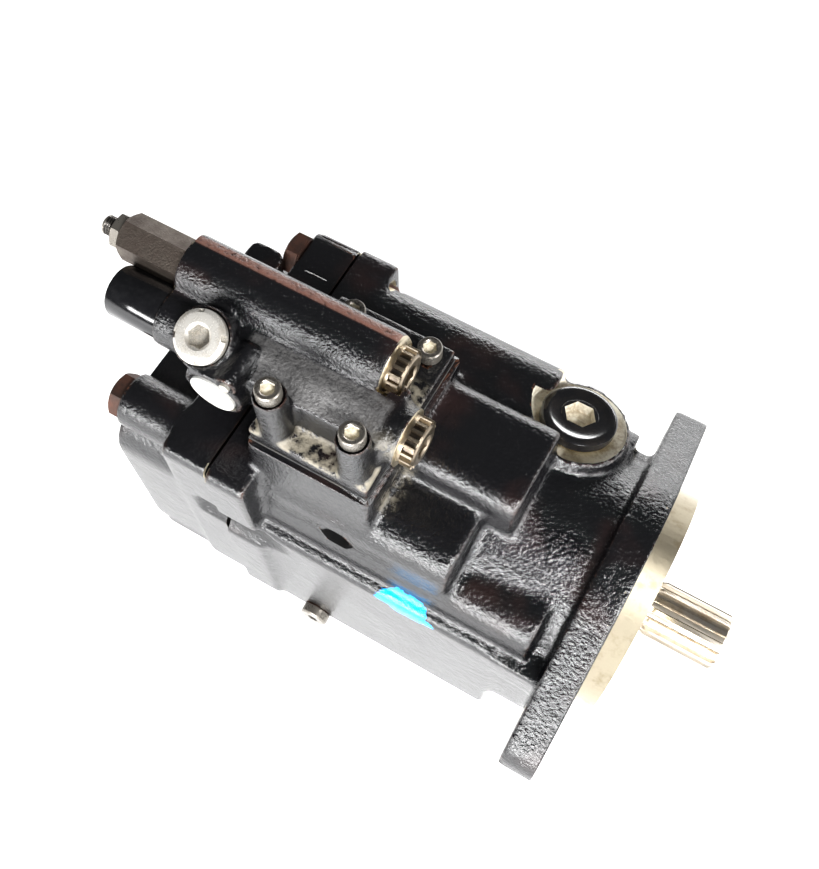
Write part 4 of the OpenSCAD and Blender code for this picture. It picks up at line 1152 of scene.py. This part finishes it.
class PUMP_OT_adjusters(bpy.types.Operator):
    """Spring sleeve, black cap, lock nuts and adjusting screws"""
    bl_idname = "pump.adjusters"
    bl_label = "Adjusters"

    def execute(self, context):
        rear, flat = SLEEVE_REAR, SLEEVE_AF / 2
        sleeve = prism("spring_sleeve", hexagon(SLEEVE_AF), "x", rear, VALVE_REAR)
        moved(sleeve, turned(30, "X"))
        dome = lathe("dome", [
            (rear, 0), (rear, flat - 0.4), (rear + 1.2, flat + 1.6), (VALVE_REAR - 1, flat + 1.8),
            (VALVE_REAR, flat - 0.2), (VALVE_REAR, 0)], ALONG_X)
        combine(sleeve, [dome], "INTERSECT")
        union(sleeve, rod_x("spigot", 8, VALVE_REAR - 1, VALVE_REAR + 9.8))
        minus(sleeve, rod_x("spring_room", 6.3, rear + 7, VALVE_REAR + 20),
              rod_x("screw_room", 4.05, rear - 1, VALVE_REAR))
        paint(moved(sleeve, spot(0, *TUBE_1)), "zinc_steel")
        keep(sleeve, CASE, "zinc_steel", "pressure_spring_housing")

        rear = CAP_REAR
        cap = lathe("glossy_cap", [(rear, 0), (rear, 9.4), (rear + 0.4, 10.3), (rear + 1.2, 10.7),
                                   (VALVE_REAR - 0.5, 10.7), (VALVE_REAR, 10.4),
                                   (VALVE_REAR, 9.3), (rear + 2, 9.3), (rear + 2, 0)], ALONG_X,
                    96)
        paint(moved(cap, spot(0, *TUBE_2)), "cap_plastic")
        keep(cap, CASE, "black_plug", "flow_cap")

        nuts = joined("lock_nut_pair", [
            lock_nut(VALVE_REAR - 35, VALVE_REAR - 30, TUBE_1),
            lock_nut(VALVE_REAR - 14, VALVE_REAR - 9, TUBE_2)])
        keep(nuts, CASE, "dark_steel", "adjuster_locknuts")
        first = adjuster(VALVE_REAR - 41, VALVE_REAR - 20.5, TUBE_1, "pressure_adjuster")
        keep(first, "pressure_screw_body", "dark_steel", "pressure_screw")
        second = adjuster(VALVE_REAR - 16, VALVE_REAR - 4, TUBE_2, "flow_adjuster")
        keep(second, "flow_screw_body", "dark_steel", "flow_screw")
        return {"FINISHED"}


# ---- Shaft ----

class PUMP_OT_shaft(bpy.types.Operator):
    """Drive shaft with its outer and inner splines"""
    bl_idname = "pump.shaft"
    bl_label = "Drive shaft"

    def execute(self, context):
        teeth = context.scene.pump_shape.spline_teeth
        end, start = SHAFT_END, SHAFT_END - 33
        root = 11.1
        body = lathe("splined_shaft", [
            (-183.05, 0), (-183.05, 9.4), (-182.4, 10), (PLATE_FRONT, 10), (PLATE_FRONT, 11.5),
            (-158, 12.2), (-92, 12.2), (-92, 14), (-33.25, 14), (-32.25, 20.5), (-26.25, 20.5),
            (-26.25, 17.5), (-8, 17.5), (-8, 15), (start - 2.4, 15), (start - 1.6, 14.4),
            (start - 1.2, root), (end - 1.5, root), (end - 0.2, root - 1.5), (end, root - 1.9),
            (end, 2.4), (end - 3, 0)], ALONG_X)
        paint(body, "shaft_steel")
        half = math.pi * (25.2 - 1.5) / teeth / 4
        side = [(root - 0.4, start - 1.4), (root + 0.2, start - 1.0), (12.6, start + 1.6),
                (12.6, end - 1.7), (root + 0.2, end - 0.3), (root - 0.4, end - 0.3)]

        def tooth(bm):
            close_rings(bm, *([bm.verts.new((x, sign * half * (1.0 if r < 12 else 0.7), r))
                               for r, x in side] for sign in (-1, 1)))
        outer = ring_of("outer_spline", new_object("tooth", tooth), teeth, "shaft_steel")
        inner_tooth = block("inner_tooth", (-158, -92.2), (-1.05, 1.05), (11.8, 13.4))
        inner = ring_of("inner_spline", inner_tooth, 18, "shaft_steel")
        keep(joined("splined_drive_shaft", [body, outer, inner]), "rotor", "shaft_steel",
             "drive_shaft", angle=28)
        return {"FINISHED"}


# ---- Finishes of the frame's own nodes ----

INNER_NODES = {
    "bearing_steel": ("bearing_cups", "bearing_cones", "bearing_rollers"),
    "seal_rubber": ("shaft_seal",),
    "gasket": ("valve_gasket",),
    "zinc_steel": ("flow_spring_housing",),
    "spring_steel": ("seal_retaining_ring", "block_spring", "bias_spring", "pressure_spring",
                     "flow_spring"),
    "hardened_iron": ("cylinder_block", "ball_guide", "retainer_plate", "swashplate"),
    "bronze": ("cradle_bearings", "valve_plate", *(f"slipper_{i}" for i in range(1, 10))),
    "ground_steel": ("stroking_guide", "bias_guide_rod", "stroking_piston", "bias_piston",
                     "pressure_spool", "flow_spool", *(f"piston_{i}" for i in range(1, 10))),
}


class PUMP_OT_inner_finishes(bpy.types.Operator):
    """Finishes of the seals, bearings, rotating group, control pistons, spools and springs"""
    bl_idname = "pump.inner_finishes"
    bl_label = "Inner finishes"

    def execute(self, context):
        for finish, nodes in INNER_NODES.items():
            for node in nodes:
                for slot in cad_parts[node].material_slots:
                    slot.material = FINISHES[finish]
        return {"FINISHED"}


class PUMP_PT_panel(bpy.types.Panel):
    """Buttons and values of the pump"""
    bl_label = "Axial Piston Pump"
    bl_idname = "PUMP_PT_panel"
    bl_space_type = "VIEW_3D"
    bl_region_type = "UI"
    bl_category = "Pump"

    def draw(self, context):
        for group in (context.scene.pump_shape, context.scene.pump_paint):
            box = self.layout.box()
            for name in group.bl_rna.properties.keys():
                if name not in ("rna_type", "name"):
                    box.prop(group, name)
        for step in STEPS:
            self.layout.operator(step.bl_idname)


STEPS = (PUMP_OT_stage, PUMP_OT_housing, PUMP_OT_port_plate, PUMP_OT_valve_body,
         PUMP_OT_fasteners, PUMP_OT_plugs, PUMP_OT_adjusters, PUMP_OT_shaft,
         PUMP_OT_inner_finishes)
CLASSES = (PumpShape, PumpPaint, *STEPS, PUMP_PT_panel)


def register():
    for kind in CLASSES:
        bpy.utils.register_class(kind)
    bpy.types.Scene.pump_shape = bpy.props.PointerProperty(type=PumpShape)
    bpy.types.Scene.pump_paint = bpy.props.PointerProperty(type=PumpPaint)


def unregister():
    del bpy.types.Scene.pump_paint
    del bpy.types.Scene.pump_shape
    for kind in reversed(CLASSES):
        bpy.utils.unregister_class(kind)


def main():
    register()
    make_finishes()
    for step in STEPS:
        group, name = step.bl_idname.split(".")
        getattr(getattr(bpy.ops, group), name)()


if __name__ == "__main__":
    main()
